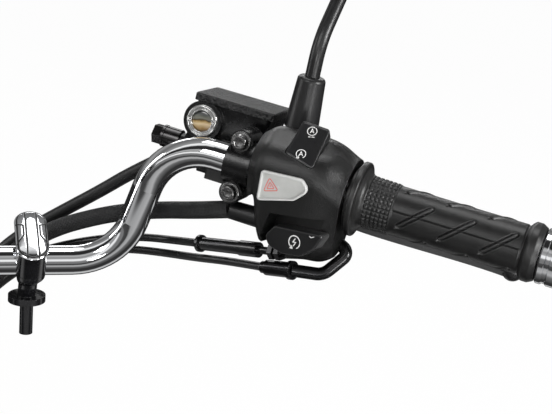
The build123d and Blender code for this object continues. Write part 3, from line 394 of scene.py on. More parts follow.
# braid of the harness sleeve: two families of threads, sin(a u + b v) and sin(a u - b v), cross over and under
def makeBraid(name, facts):
    material = makeMaterial(name, facts)
    tree = material.node_tree
    along = mathNode(tree, "MULTIPLY", axisNode(tree, "UV", "X"), facts["pitch"])
    around = axisNode(tree, "UV", "Y")
    threads = [mathNode(tree, "SINE", mathNode(tree, "MULTIPLY_ADD", around, turns * 2 * math.pi, along))
               for turns in (facts["threads"], -facts["threads"])]
    bump = tree.nodes.new("ShaderNodeBump")
    bump.inputs["Distance"].default_value = facts["relief"]
    feed(tree, bump.inputs["Height"], mathNode(tree, "MULTIPLY", *threads))
    feed(tree, tree.nodes["Principled BSDF"].inputs["Normal"], bump.outputs["Normal"])
    return material


materials["sleeve_black"] = makeBraid("sleeve_black", {
    "tone": (0.010, 0.010, 0.011), "other": (0.018, 0.018, 0.019), "patch": 90, "rough": 0.52, "spread": 0.2,
    "pitch": 2600, "threads": 18, "relief": 0.00025})


# chrome with painted shade where the share kept in the attribute "groove" is high: the grooves turn near black and
# rough
def makeLinedChrome():
    material = makeMaterial("linedChrome", finishFacts["chrome"])
    tree = material.node_tree
    groove = tree.nodes.new("ShaderNodeAttribute")
    groove.attribute_name = "groove"
    # painted shade: the groove share darkens the chrome to near black in the grooves
    grooveShadeShare = shareNode(tree, groove.outputs["Fac"], *shaderFacts["grooveShade"])
    grooveShade = {"Base Color": (0.002, 0.002, 0.002, 1), "Roughness": 0.55, "Metallic": 0}
    for label, value in grooveShade.items():
        socket = tree.nodes["Principled BSDF"].inputs[label]
        bare = socket.links[0].from_socket if socket.links else socket.default_value
        kind = "RGBA" if label == "Base Color" else "FLOAT"
        feed(tree, socket, mixNode(tree, kind, grooveShadeShare, bare, value))
    return material


materials["linedChrome"] = makeLinedChrome()


# sight glass: amber fluid up to a level, dark air above it; z plus a ripple picks the tone. The tones also hold a
# painted highlight, a pale band just under the level, and a painted reflection, a grey band over it, and darken
# towards the bottom
def makeSightGlass(level, facts):
    material = makeMaterial("sight_amber", facts)
    tree = material.node_tree
    wave = noiseNode(tree, facts["ripples"], facts["detail"])
    height = mathNode(tree, "MULTIPLY_ADD", wave, facts["ripple"], axisNode(tree, "Object", "Z"))
    middle = level + facts["ripple"] / 2
    share = shareNode(tree, height, middle - facts["depth"], middle + facts["depth"])
    feed(tree, tree.nodes["Principled BSDF"].inputs["Base Color"], rampNode(tree, share, facts["stops"]))
    return material


materials["sight_amber"] = makeSightGlass(sum(corner[2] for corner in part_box("sight_glass_right")) / 2, {
    "tone": (0.5, 0.3, 0.08), "other": (0.3, 0.18, 0.04), "patch": 200, "rough": 0.12, "spread": 0.1, "coat": 1,
    "ripples": 160, "detail": 2, "ripple": 0.004, "depth": 0.0076,
    # tones from the bottom up: darker towards the bottom, a pale band under the level that is a painted highlight, and
    # a grey band over it that is a painted reflection
    "stops": [(0.0, (0.10, 0.055, 0.012)), (0.16, (0.33, 0.19, 0.05)), (0.36, (0.78, 0.62, 0.38)),
              (0.47, (0.5, 0.33, 0.12)), (0.54, (0.06, 0.04, 0.015)), (0.62, (0.2, 0.2, 0.16)),
              (0.8, (0.035, 0.04, 0.035)), (1.0, (0.012, 0.012, 0.012))]})

slotOf = {part["node"]: part["material_slot"] for part in frame["record"]["subparts"]}
for name, node in nodes.items():
    node.data.materials.clear()
    node.data.materials.append(materials[slotOf[name]])
print("stage: finishes made")


# shapes are worked out in millimetres in a frame (origin, across, up, out) and turned to metres once
# two axes turned by degrees, a towards b: (a cos t + b sin t, b cos t - a sin t)
def turned(a, b, angle):
    angle = math.radians(angle)
    return a * math.cos(angle) + b * math.sin(angle), b * math.cos(angle) - a * math.sin(angle)


# point (a, b, c) of a frame: origin + (a first + b second + c third) / 1000
def put(place, a, b, c):
    origin, first, second, third = place
    a, b, c = (np.asarray(v, float)[..., None] for v in (a, b, c))
    return origin + (first * a + second * b + third * c) / 1000


# frame moved to its point (a, b, c), with other axes where they are given
def shifted(place, a, b, c, axes=None):
    return (put(place, a, b, c),) + (axes or place[1:])


# twist axis of the throttle: its origin, forward, up and outboard
twist = next(j for j in frame["record"]["behaviour"]["joints"] if j["name"] == "throttle_twist")
outboard = np.array(twist["axis"])
forward = np.array([-outboard[1], outboard[0], 0]) / math.hypot(outboard[0], outboard[1])
controls = (np.array(twist["pos_m"]), forward, np.cross(outboard, forward), outboard)


# share of a side that an arc may take, the least reach of an arc in mm and the half angle of a flat corner
roundingFacts = {"share": 0.48, "least": 1e-4, "flat": 1.55}


# corners (x, y, radius) as a fine outline: each arc is p(s) = c + (sin((1-s)w) a + sin(s w) b) / sin(w)
def rounded(corners, steps=7, closed=True):
    spots = np.array([corner[:2] for corner in corners], float)
    outline = []
    for i, spot in enumerate(spots):
        if not closed and i in (0, len(spots) - 1):
            outline.append(spot)
            continue
        before, after = spots[i - 1] - spot, spots[(i + 1) % len(spots)] - spot
        lengths = np.linalg.norm(before), np.linalg.norm(after)
        before, after = before / lengths[0], after / lengths[1]
        half = math.acos(np.clip(before @ after, -1, 1)) / 2
        reach = min(corners[i][2] / math.tan(half), roundingFacts["share"] * min(lengths))
        if reach < roundingFacts["least"] or half > roundingFacts["flat"]:
            outline.append(spot)
            continue
        middle = (before + after) / np.linalg.norm(before + after)
        centre = spot + middle * reach / math.cos(half)
        a, b = spot + before * reach - centre, spot + after * reach - centre
        sweep = math.pi - 2 * half
        for s in np.linspace(0, 1, steps + 1):
            outline.append(centre + (math.sin((1 - s) * sweep) * a + math.sin(s * sweep) * b) / math.sin(sweep))
    return np.array(outline)


# even steps along a line: linear interpolation over its arc length
def evened(line, count, closed=True):
    if closed:
        line = np.vstack([line, line[:1]])
    run = np.concatenate([[0], np.cumsum(np.linalg.norm(np.diff(line, axis=0), axis=1))])
    at = np.linspace(0, run[-1], count, endpoint=not closed)
    return np.stack([np.interp(at, run, line[:, k]) for k in range(line.shape[1])], -1)


# inset by d along the inward normals of a closed outline
def inset(outline, distance):
    along = np.roll(outline, -1, 0) - np.roll(outline, 1, 0)
    along /= np.linalg.norm(along, axis=1)[:, None]
    inward = np.stack([-along[:, 1], along[:, 0]], -1)
    area = np.sum(outline[:, 0] * np.roll(outline[:, 1], -1) - outline[:, 1] * np.roll(outline[:, 0], -1))
    return outline + inward * distance * (1 if area > 0 else -1)


# s^2 (3 - 2 s), where s = (x - a) / (b - a) is kept in 0..1
def smoothStep(a, b, x):
    s = np.clip((x - a) / (b - a), 0, 1)
    return s * s * (3 - 2 * s)


# one closed grid: point (i, j) is number i columns + j, rows go round, and both ends are filled
def gridFaces(rows, columns, start):
    i, j = np.meshgrid(np.arange(rows - 1), np.arange(columns), indexing="ij")
    k = (j + 1) % columns
    quads = np.stack([i * columns + j, i * columns + k, (i + 1) * columns + k, (i + 1) * columns + j], -1)
    last = start + (rows - 1) * columns
    ends = [list(range(start, start + columns)), list(range(last, last + columns))]
    return (quads.reshape(-1, 4) + start).tolist() + ends


# closed grids as one mesh, mirrored by x = -x where side is -1; it replaces the nodes that it covers
def addPiece(name, grids, finish, body="bar_assembly", covers=(), side=1, crease=38):
    points, faces = [], []
    for grid in grids:
        faces += gridFaces(grid.shape[0], grid.shape[1], len(points))
        points += (grid.reshape(-1, 3) * (side, 1, 1)).tolist()
    mesh = bpy.data.meshes.new(name)
    mesh.from_pydata(points, [], faces)
    work = bmesh.new()
    work.from_mesh(mesh)
    bmesh.ops.recalc_face_normals(work, faces=work.faces)
    work.to_mesh(mesh)
    work.free()
    mesh.shade_smooth()
    mesh.set_sharp_from_angle(angle=math.radians(crease))
    mesh.materials.append(materials[finish])
    piece = bpy.data.objects.new(name, mesh)
    scene.collection.objects.link(piece)
    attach(piece, body)
    if covers:
        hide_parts(*covers)
    return piece


# surface of revolution about a frame's third axis: (r cos t, r sin t, h)
def lathe(place, profile, count=64, waves=None):
    angle = np.linspace(0, 2 * math.pi, count, endpoint=False)
    r, h = np.array(profile, float).T[:2]
    radius = r[:, None] * np.ones(count) if waves is None else waves(r[:, None], h[:, None], angle[None])
    return put(place, radius * np.cos(angle), radius * np.sin(angle), h[:, None] * np.ones(count))


# height and foot of the ink over the face, the share of its width that is flat, and the sharpest mitre
inkFacts = {"height": 0.07, "foot": -0.08, "flat": 0.8, "mitre": 0.45}


# raised line along a path: a low trapezoid, its sides at p +- n w / (2 n.m), n across the path and m across its bend
def inkLine(place, line, width, closed, facts):
    line = np.array(line, float)
    if closed:
        step = np.roll(line, -1, 0) - line
        step /= np.linalg.norm(step, axis=1)[:, None]
        bend = step + np.roll(step, 1, 0)
    else:
        step = np.diff(line, axis=0)
        step /= np.linalg.norm(step, axis=1)[:, None]
        bend = np.vstack([step[:1], step[1:] + step[:-1], step[-1:]])
        step = np.vstack([step, step[-1:]])
    bend /= np.linalg.norm(bend, axis=1)[:, None]
    mitre = np.clip(np.sum(bend * step, axis=1), facts["mitre"], 1)
    beside = np.stack([-bend[:, 1], bend[:, 0]], -1) / mitre[:, None] * width / 2
    rows = []
    flat, foot, height = facts["flat"], facts["foot"], facts["height"]
    for across, level in ((-1, foot), (-flat, height), (flat, height), (1, foot)):
        spot = line + beside * across
        rows.append(put(place, spot[:, 0], spot[:, 1], np.full(len(spot), level)))
    grid = np.stack(rows, 1)
    return np.vstack([grid, grid[:1]]) if closed else grid


# c + r (cos t, sin t) from start to end in degrees
def arcLine(centre, radius, start, end, count):
    angle = np.radians(np.linspace(start, end, count))
    return np.stack([centre[0] + radius * np.cos(angle), centre[1] + radius * np.sin(angle)], -1)


sides = ((1, "Right"), (-1, "Left"))

# rubber grips: profile (radius, place along the bar, softness), with bumps, parting lines and slotted ribs on its skin
gripFacts = {
    "profile": [(11.6, 99.8, 0), (22, 99.8, 0.4), (22, 102.6, 0.5), (26.5, 102.6, 0.9), (26.5, 106.8, 1.3),
                (23.2, 107.6, 2), (19.2, 110.2, 4), (18.3, 114.6, 3), (17.95, 131.4, 0.4), (17.45, 132.2, 0.5),
                (17.25, 180, 60), (17.35, 221.6, 0.6), (16.7, 222.2, 0.3), (16.8, 223, 0.4), (18.9, 224.4, 1.2),
                (20.6, 226.2, 1.6), (20.6, 230.6, 1.8), (19.2, 233.2, 0.8), (18.6, 234.4, 0.4), (11.6, 234.5, 0)],
    "along": 0.46, "round": 272, "bore": 11.55, "skinOver": 16, "skinFrom": 110, "skinTo": 222.5, "skin": 17.4,
    "bumps": {"from": 112.6, "to": 130.9, "rows": 6, "round": 34, "height": 0.9, "sink": 0.6,
              "rowEdge": (0.15, 0.45), "columnEdge": (0.18, 0.5)},
    "seams": (166, 346), "seamFrom": 132.4, "seamFull": 132.8, "seamTo": 221, "seamWidth": 0.45, "seamDepth": 0.55,
    "seamStep": 0.3, "stepHalf": 0.1, "stepReach": 9,
    "ribRows": 4, "ribStarts": (139.3, 168.8, 198.0), "ribLength": 18.6, "ribTurn": 61, "ribAngle": 197,
    "ribHalf": 1.15, "ribTop": 0.6, "slotHalf": 2.4, "slotDepth": 1.0, "slotSoft": 0.8,
    "dotAhead": 3.1, "dotHalf": 0.95, "dotTop": 0.75,
}


# height over the skin: bumps sin^2 by sin^2, parting lines exp(-(d / w)^2) with a low step beside them, and along each
# rib, where d is the distance to its line, a slot of smooth sides and a rib sqrt(1 - (d / w)^2), with a dot before it
def gripRelief(along, angle, facts):
    shift = np.zeros_like(along)
    bumps, skin = facts["bumps"], facts["skin"]
    pitch = (bumps["to"] - bumps["from"]) / bumps["rows"]
    row = np.sin(math.pi * (along - bumps["from"]) / pitch) ** 2
    column = np.sin(bumps["round"] * angle / 2) ** 2
    inside = (along > bumps["from"]) & (along < bumps["to"])
    bump = smoothStep(*bumps["rowEdge"], row) * smoothStep(*bumps["columnEdge"], column)
    shift += inside * bumps["height"] * (bump - bumps["sink"])
    ringed = smoothStep(facts["seamFrom"], facts["seamFull"], along) * (along < facts["seamTo"])
    for seam in facts["seams"]:
        turn = (angle - math.radians(seam) + math.pi) % (2 * math.pi) - math.pi
        beside = turn * skin
        shift -= ringed * facts["seamDepth"] * np.exp(-(beside / facts["seamWidth"]) ** 2)
        step = smoothStep(-facts["stepHalf"], facts["stepHalf"], beside)
        shift -= ringed * facts["seamStep"] * step * (1 - smoothStep(facts["stepHalf"], facts["stepReach"], beside))
    for row in range(facts["ribRows"]):
        for start in facts["ribStarts"]:
            first = math.radians(facts["ribAngle"] + 360 / facts["ribRows"] * row)
            turn = (first - angle + math.pi * 0.75) % (2 * math.pi) - math.pi * 0.75
            x, y = along - start, turn * skin
            lengths = facts["ribLength"], math.radians(facts["ribTurn"]) * skin
            whole = math.hypot(*lengths)
            s = np.clip((x * lengths[0] + y * lengths[1]) / whole ** 2, 0, 1)
            off = np.hypot(x - s * lengths[0], y - s * lengths[1])
            slot = 1 - smoothStep(facts["slotHalf"] - facts["slotSoft"], facts["slotHalf"], off)
            crown = np.sqrt(np.clip(1 - (off / facts["ribHalf"]) ** 2, 0, 1))
            shift += -facts["slotDepth"] * slot + (facts["slotDepth"] + facts["ribTop"]) * crown
            dot = np.hypot(x + facts["dotAhead"] * lengths[0] / whole, y + facts["dotAhead"] * lengths[1] / whole)
            shift += facts["dotTop"] * np.sqrt(np.clip(1 - (dot / facts["dotHalf"]) ** 2, 0, 1))
    return shift


# grid of (r cos t, r sin t, h) about the bar with its relief, and a last ring down the bore
def makeGrip(side, suffix, facts):
    line = rounded(facts["profile"], 6, False)
    run = np.linalg.norm(np.diff(line, axis=0), axis=1).sum()
    line = evened(line, int(run / facts["along"]), False)
    angle = np.linspace(0, 2 * math.pi, facts["round"], endpoint=False)
    radius, along = (line[:, k][:, None] * np.ones(len(angle)) for k in (0, 1))
    skin = (radius > facts["skinOver"]) & (along > facts["skinFrom"]) & (along < facts["skinTo"])
    radius = radius + skin * gripRelief(along, angle[None] * np.ones_like(radius), facts)
    grid = put(controls, radius * np.cos(angle), radius * np.sin(angle), along)
    bore, start = facts["bore"], np.full(len(angle), facts["profile"][0][1])
    grid = np.vstack([grid, put(controls, bore * np.cos(angle), bore * np.sin(angle), start)[None]])
    addPiece("rubberGrip" + suffix, [grid], "grip_rubber", covers=["grip_" + suffix.lower()], side=side, crease=70,
             body="throttle_grip" if side > 0 else "bar_assembly")


for side, suffix in sides:
    makeGrip(side, suffix, gripFacts)
print("stage: grips made")


# frames of the three button faces: along the bar, up the face, out of it
faceFacts = {"hazardBack": 33.5, "rockerLean": 42, "rockerOut": 36, "starterBack": 23, "starterAt": 76,
             "starterLean": 16}
backward = -controls[1]
rockerOut, rockerUp = turned(backward, controls[2], faceFacts["rockerLean"])
starterOut, starterAlong = turned(backward, -controls[3], faceFacts["starterLean"])
faces = {
    "hazard": shifted(controls, -faceFacts["hazardBack"], 0, 0, (controls[3], controls[2], backward)),
    "rocker": (controls[0] + rockerOut * (faceFacts["rockerOut"] / 1000), controls[3], rockerUp, rockerOut),
    "starter": shifted(controls, -faceFacts["starterBack"], 0, faceFacts["starterAt"],
                       (-starterAlong, controls[2], starterOut)),
}

# corners as (along, up, radius); rim steps as (inset, height); heights above the frame's plane
buttonFacts = {
    "hazard": {
        "corners": [(41.8, 10.5, 2.5), (71.5, 12.5, 5), (78, 5.5, 5), (69, -4, 5), (42.6, -11.5, 2.5)],
        "foot": -5.7, "round": 150, "shrink": (0.86, 0.6, 0.35, 0.12),
        "rim": [(0, 1.0), (0.12, 1.5), (0.4, 1.85), (0.9, 2.0), (1.4, 1.93), (1.7, 1.6), (1.95, 1.1), (2.3, 0.97),
                (2.8, 0.95)]},
    "rocker": {
        "corners": [(56, 28, 2.5), (76.5, 27, 2.5), (75.5, -6, 2.5), (53, 0, 2.5)],
        "foot": -7.7, "round": 150, "shrink": (0.85, 0.6, 0.35, 0.12),
        "rim": [(0, -0.5), (0.08, -0.1), (0.3, 0.2), (0.7, 0.32), (1.0, 0.3), (1.15, 0.18), (1.35, 0.16), (1.5, 0.3),
                (1.9, 0.3)]},
    "starter": {
        "corners": [(-23, -37, 4), (-16.5, -27.2, 3), (23.2, -20, 1.8), (18.5, -31.5, 9), (9, -41, 6),
                    (-6, -44.5, 8), (-18, -43, 6)],
        "foot": 0.3, "round": 190, "shrink": (0.85, 0.6, 0.35, 0.12),
        "rim": [(0, 8.8), (0.15, 9.5), (0.5, 10.05), (1.0, 10.3), (1.5, 10.3)]},
}


# rings of one outline: the foot, the rim's insets at their heights, then m + k (p - m) on the face for each shrink k
def makeButton(name, face, facts, finish, covers, side=1):
    outline = evened(rounded(facts["corners"]), facts["round"])
    rows = [(outline, facts["foot"])] + [(inset(outline, step), height) for step, height in facts["rim"]]
    last, level = rows[-1]
    middle = last.mean(0)
    rows += [(middle + (last - middle) * share, level) for share in facts["shrink"]]
    grid = np.stack([put(face, ring[:, 0], ring[:, 1], np.full(len(ring), height)) for ring, height in rows])
    addPiece(name, [grid], finish, covers=covers, side=side, crease=50)


makeButton("hazardButton", faces["hazard"], buttonFacts["hazard"], "pale_plastic", ["hazard_button"])
makeButton("idleStopRocker", faces["rocker"], buttonFacts["rocker"], "button_plastic", ["idle_stop_rocker"])
makeButton("dimmerRocker", faces["rocker"], buttonFacts["rocker"], "button_plastic", ["dimmer_rocker"], -1)
makeButton("starterButton", faces["starter"], buttonFacts["starter"], "button_plastic", ["starter_button"])


# printed marks, as strokes (points, closed) in a mark's own plane about its middle; here a capital A
def letterStrokes():
    return [([(-1.25, -1.5), (0, 1.75), (1.25, -1.5)], False), ([(-0.75, -0.45), (0.75, -0.45)], False)]


# part of a ring, with an open arrow head at its end where head is its size
def ringStrokes(radius, start, end, head=0):
    line = arcLine((0, 0), radius, start, end, 40)
    strokes = [(line, False)]
    if head:
        tip, along = line[-1], line[-1] - line[-2]
        along /= np.linalg.norm(along)
        beside = np.array([-along[1], along[0]])
        strokes.append(([tip - along * head * 0.3 + beside * head, tip + along * head,
                         tip - along * head * 0.3 - beside * head], False))
    return strokes


# corners at 90, 210 and 330 degrees of a ring, softened by a share of its radius
def triangleStroke(radius):
    corners = [(*arcLine((0, 0), radius, a, a, 1)[0], radius * 0.13) for a in (90, 210, 330)]
    return rounded(corners, 4)


# lamp with four rays that fall by slope
def beamStrokes(slope):
    lamp = rounded([(0, 2.6, 0), (-2.2, 2.3, 2), (-3.2, 0, 2.4), (-2.2, -2.3, 2), (0, -2.6, 0)], 6)
    return [(lamp, True)] + [([(0.9, y), (3.4, y - slope)], False) for y in (2.1, 0.7, -0.7, -2.1)]


# face, place on it, height over it, turn in degrees, width of the lines and the strokes; lengths in millimetres
markFacts = {
    "idleStopOff": {"face": "rocker", "at": (64.9, 21.8), "level": 0.3, "turn": 14, "width": 0.62,
                    "strokes": ringStrokes(3.25, 60, 410) + letterStrokes()
                    + [([(-2.2, -4.6), (-0.6, -4.6)], False), ([(0.1, -4.6), (2.2, -4.6)], False)]},
    "idleStopOn": {"face": "rocker", "at": (64.0, 2.9), "level": 0.3, "turn": 14, "width": 0.62,
                   "strokes": ringStrokes(3.25, -62, 232, 1.0) + letterStrokes()},
    "startRun": {"face": "starter", "at": (2.2, -32.6), "level": 10.3, "turn": 14, "width": 0.85,
                 "strokes": ringStrokes(4.5, -68, 232, 1.25)
                 + [([(0.9, 2.7), (-1.2, 0.1), (1.1, -0.1), (-0.8, -2.7)], False)]},
    "stopDash": {"face": "starter", "at": (14.6, -24.0), "level": 10.3, "turn": 8, "width": 0.6,
                 "strokes": [([(-1.9, 0.2), (-0.5, -0.7), (1.9, 0.5)], False)]},
    "warning": {"face": "hazard", "at": (50.5, 0.9), "level": 0.95, "turn": 17, "width": 0.55, "finish": "redMark",
                "strokes": [(triangleStroke(6.1), True), (triangleStroke(3.0), True),
                            ([(0, 0.75), (0, -0.35)], False)]},
    "highBeam": {"face": "rocker", "at": (65.0, 20.5), "level": 0.3, "turn": 0, "width": 0.5, "side": -1,
                 "strokes": beamStrokes(0)},
    "dippedBeam": {"face": "rocker", "at": (64.2, 4.2), "level": 0.3, "turn": 0, "width": 0.5, "side": -1,
                   "strokes": beamStrokes(1.0)},
    "horn": {"face": "starter", "at": (-4, -31), "level": 11.32, "turn": 0, "width": 0.6, "side": -1,
             "strokes": [([(-3.2, 0.5), (0.6, 0.9), (3.2, 2.6), (3.2, -2.6), (0.6, -0.9), (-3.2, -0.5)], True),
                         ([(-1.4, -1.2), (-1.0, -2.4), (0.4, -2.4), (0.4, -1.4)], False)]},
}


# ink lines in the face's frame, moved to the mark's place and turned there
def makeMark(name, facts):
    face = faces[facts["face"]]
    a, b = turned(face[1], face[2], facts["turn"])
    place = shifted(face, *facts["at"], facts["level"], (a, b, face[3]))
    grids = [inkLine(place, line, facts["width"], closed, inkFacts) for line, closed in facts["strokes"]]
    finish = facts.get("finish", "whiteMark")
    addPiece(name + "Mark", grids, finish, side=facts.get("side", 1), crease=20)


for markName, facts in markFacts.items():
    makeMark(markName, facts)
print("stage: buttons and marks made")


# frame of the brake tank, rolled forward about the bar, and the frame of its sight glass
tankFacts = {"roll": 4.6, "sight": (15.5, 17.8, -25)}
tankForward, tankUp = turned(controls[1], -controls[2], tankFacts["roll"])
tank = (controls[0], tankForward, -tankUp, controls[3])
tankFace = (controls[3], tank[2], -tank[1])
sightFace = shifted(tank, *tankFacts["sight"], tankFace)

# sight glass: two bright rims round a domed lens; profiles (radius, height above the boss)
sightFacts = {
    "round": 72,
    "ring": [(7.62, -2.7, 0), (11.75, -2.7, 0), (11.8, 1.4, 0.5), (10.9, 2.2, 0.7), (10.1, 2.2, 0.4), (9.9, 1.2, 0.3),
             (8.9, 1.1, 0.3), (8.6, 2.0, 0.4), (7.9, 2.0, 0.3), (7.62, 1.2, 0.2), (7.62, -2.7, 0)],
    "lens": [(7.4, -2.7), (7.4, 0.2), (7.2, 0.5), (6.6, 0.72), (5.2, 0.93), (3.4, 1.06), (1.6, 1.12), (0.3, 1.13)],
}
sightRing = lathe(sightFace, rounded(sightFacts["ring"], 5, False), sightFacts["round"])
sightLens = lathe(sightFace, sightFacts["lens"], sightFacts["round"])
for side, suffix in sides:
    addPiece("sightRing" + suffix, [sightRing], "bright_steel", side=side, covers=["sight_ring_" + suffix.lower()])
    addPiece("sightLens" + suffix, [sightLens], "sight_amber", side=side, covers=["sight_glass_" + suffix.lower()])

# clamp bolts: washer face, flange, domed head with an inside hexagon; profile (radius, height, softness)
boltFacts = {
    "rises": (16.75, -20.5), "along": 15.5, "seat": -9.65,
    "profile": [(0.3, 0, 0), (7.3, 0, 0.2), (7.4, 1.2, 0.4), (6.7, 1.65, 0.3), (5.95, 1.6, 0.2), (5.75, 2.9, 0.3),
                (5.3, 5.4, 0.7), (4.5, 6.15, 0.5), (3.6, 6.2, 0.25), (3.35, 5.9, 0.2), (3.1, 3.9, 0.2), (0.3, 3.6, 0)],
    "shank": [(3, -18), (3, 0.2)], "round": 72, "shankRound": 24,
    "socket": 3.5, "socketOver": 0.12, "socketFrom": 3, "flat": 0.9,
}


# inside hexagon: below the rim the radius r becomes r k / cos(t mod 60 - 30)
def socketed(r, h, angle):
    flat = boltFacts["flat"] * boltFacts["socket"] / np.cos((angle % (math.pi / 3)) - math.pi / 6)
    inner = (r < boltFacts["socket"] + boltFacts["socketOver"]) & (h > boltFacts["socketFrom"])
    return np.where(inner, r / boltFacts["socket"] * flat, r * np.ones_like(angle))


# a turned head over a plain shank at each rise
def makeBolts(facts):
    grids = []
    for rise in facts["rises"]:
        head = shifted(tank, facts["seat"], rise, facts["along"], tankFace)
        grids.append(lathe(head, rounded(facts["profile"], 5, False), facts["round"], socketed))
        grids.append(lathe(head, facts["shank"], facts["shankRound"]))
    return grids


bolts = makeBolts(boltFacts)
for side, suffix in sides:
    addPiece("clampBolts" + suffix, bolts, "boltSteel", side=side, crease=30,
             covers=["clamp_bolts_" + suffix.lower()])

# chrome riser caps: a long oval with a raised panel between two grooves and a finned groove at each side; the grooves
# are darkened with painted shade
capFacts = {
    "lean": 28, "bar": (0, -17.75, 38.06), "spacing": 82, "forward": 3, "height": 22.5,
    "long": 49.4, "wide": 23.9, "round": 400, "rings": 66,
    "panel": 4.1, "line": 0.72, "depth": 0.14, "edgeGroove": 1.7, "inner": 0.01, "grooved": 0.96,
    "crown": 4.0, "fall": 1.5, "rimFall": 2.2, "endFall": 1.6, "endReach": 25,
    "fin": [(11.6, 9.6), (6.1, 7.6), (5.9, -2.4), (11.0, -10.4)],
}


# distance from (x, y) to a broken line: |p - a - s (b - a)| with s clipped to 0..1, least of its pieces
def pathDistance(x, y, path):
    gaps = []
    for (ax, ay), (bx, by) in zip(path, path[1:]):
        dx, dy = bx - ax, by - ay
        s = np.clip(((x - ax) * dx + (y - ay) * dy) / (dx * dx + dy * dy), 0, 1)
        gaps.append(np.hypot(x - ax - s * dx, y - ay - s * dy))
    return np.min(gaps, axis=0)


# share of groove at (x, y) of the oval: exp(-(d / w)^2), d the distance to the nearest line
def capGrooves(x, y, share, facts):
    across = np.abs(x)
    rim = (1 - share) * facts["wide"] / 2 - facts["edgeGroove"]
    gaps = [across - facts["panel"], pathDistance(across, y, facts["fin"]), rim * np.ones_like(x)]
    return np.exp(-(np.min(np.abs(gaps), axis=0) / facts["line"]) ** 2) * (share < facts["grooved"])


# crown that falls by a s^2 + b s^9 to the rim and by c (y / r)^2 (1 - s^4) to the ends, less the grooves
def capHeight(x, y, share, facts):
    crown = facts["crown"] - facts["fall"] * share ** 2 - facts["rimFall"] * share ** 9
    return (crown - facts["endFall"] * (y / facts["endReach"]) ** 2 * (1 - share ** 4)
            - facts["depth"] * capGrooves(x, y, share, facts))


# rings of the oval about its spine: (s x, m + s (y - m)) for s from 1 to nearly 0
def makeCaps(facts):
    lean = math.radians(facts["lean"])
    grids, dark = [], []
    radius = facts["wide"] / 2
    straight = facts["long"] / 2 - radius
    ends = arcLine((0, straight), radius, 0, 180, 60), arcLine((0, -straight), radius, 180, 360, 60)
    oval = evened(np.vstack(ends), facts["round"])
    spine = np.clip(oval[:, 1], -straight, straight)
    for side in (1, -1):
        bar = np.array(facts["bar"]) / 1000 + np.array((side * facts["spacing"] / 2000, 0, 0))
        cap = (bar, np.array((1.0, 0, 0)), np.array((0, math.cos(lean), math.sin(lean))),
               np.array((0, -math.sin(lean), math.cos(lean))))
        rows = [put(cap, oval[:, 0], oval[:, 1] + facts["forward"], np.full(len(oval), facts["height"]))]
        dark.append(np.zeros(len(oval)))
        for share in np.linspace(1, facts["inner"], facts["rings"]):
            x, y = oval[:, 0] * share, spine + (oval[:, 1] - spine) * share
            rows.append(put(cap, x, y + facts["forward"], facts["height"] + capHeight(x, y, share, facts)))
            # painted shade: this groove share, kept as the attribute "groove", darkens the chrome there
            dark.append(capGrooves(x, y, share, facts))
        grids.append(np.stack(rows))
    caps = addPiece("riserCaps", grids, "linedChrome", covers=["riser_caps"], crease=60)
    layer = caps.data.attributes.new("groove", "FLOAT", "POINT")
    layer.data.foreach_set("value", np.concatenate(dark).astype(np.float32))


makeCaps(capFacts)
print("stage: sight glasses, bolts and caps made")


# cords: routes, and coils as turns (radius, side step) about a centre with a straight tail, in millimetres; diameters
# and lengths in metres
cableFacts = {"diameter": 0.006, "stiffness": "medium", "finish": "cable_black", "pieces": ["throttle_cable_ends"],
              "farEnd": "fitting"}
cableTurns = [(45, -3), (39, -3), (33, -3), (27, -3), (33, 3), (39, 3), (45, 3)]
cordFacts = {
    "brakeHose": {
        "route": [(133.8, -3.2, 110.6), (117.5, 9.2, 98), (97, 20, 81), (75.5, 33, 64), (53, 44, 47),
                  (33, 56, 29), (16, 66, 8), (3, 72, -16), (-3, 74, -50)],
        "diameter": 0.010, "length": 0.97, "stiffness": "stiff", "finish": "hose_rubber",
        "coil": {"centre": (-58, 79, -70), "turns": [(55, -5), (55, 5)], "tail": 24},
        "solids": ["brake_hose", "brake_hose_coil"], "pieces": ["hose_end"], "farEnd": "fitting",
    },
    "switchHarness": {
        "route": [(178.9, -61.5, 90.4), (159, -43, 84), (138, -15, 76), (112, 6, 68), (88, 16, 60),
                  (62, 22, 50), (38, 25, 35), (20, 25, 15), (10, 24.5, -9), (9.5, 23, -34), (10, 22, -60)],
        "diameter": 0.013, "length": 0.285, "stiffness": "stiff", "finish": "sleeve_black",
        "solids": ["switch_harness"], "pieces": ["harness_connector"], "farEnd": "connector",
    },
    "throttleCablePull": {
        "route": [(161.2, -40, 57.9), (146, -17, 53), (127, 3, 49), (104, 17, 44), (80, 25, 38),
                  (56, 31, 30), (34, 35, 18), (14, 36, 1), (-1, 36.5, -20), (-7, 36, -48)],
        "length": 1.9, "coil": {"centre": (-52, 36, -62), "turns": cableTurns, "tail": 17},
        "solids": ["throttle_cable_pull", "throttle_pull_coil"], **cableFacts,
    },
    "throttleCableReturn": {
        "route": [(198.8, -87.6, 55.3), (180, -62, 51.2), (161.8, -40, 46.4), (143, -17, 42.5), (123, 3, 39),
                  (101, 19, 34.5), (78, 31, 28), (56, 41, 19), (36, 48, 6), (18, 52, -11), (3, 52.5, -29),
                  (-7, 52, -50)],
        "length": 1.95, "coil": {"centre": (-52, 52, -64), "turns": cableTurns, "tail": 17},
        "solids": ["throttle_cable_return", "throttle_return_coil"], **cableFacts,
    },
}

# points in a turn of a coil, and the part of it in which it passes to the next
coilFacts = {"points": 18, "passFrom": 0.67, "passOver": 0.33}
tubeFacts = {"round": 5, "smooth": 6}
sleeveFacts = {"smooth": 10, "stations": 360, "round": 40}


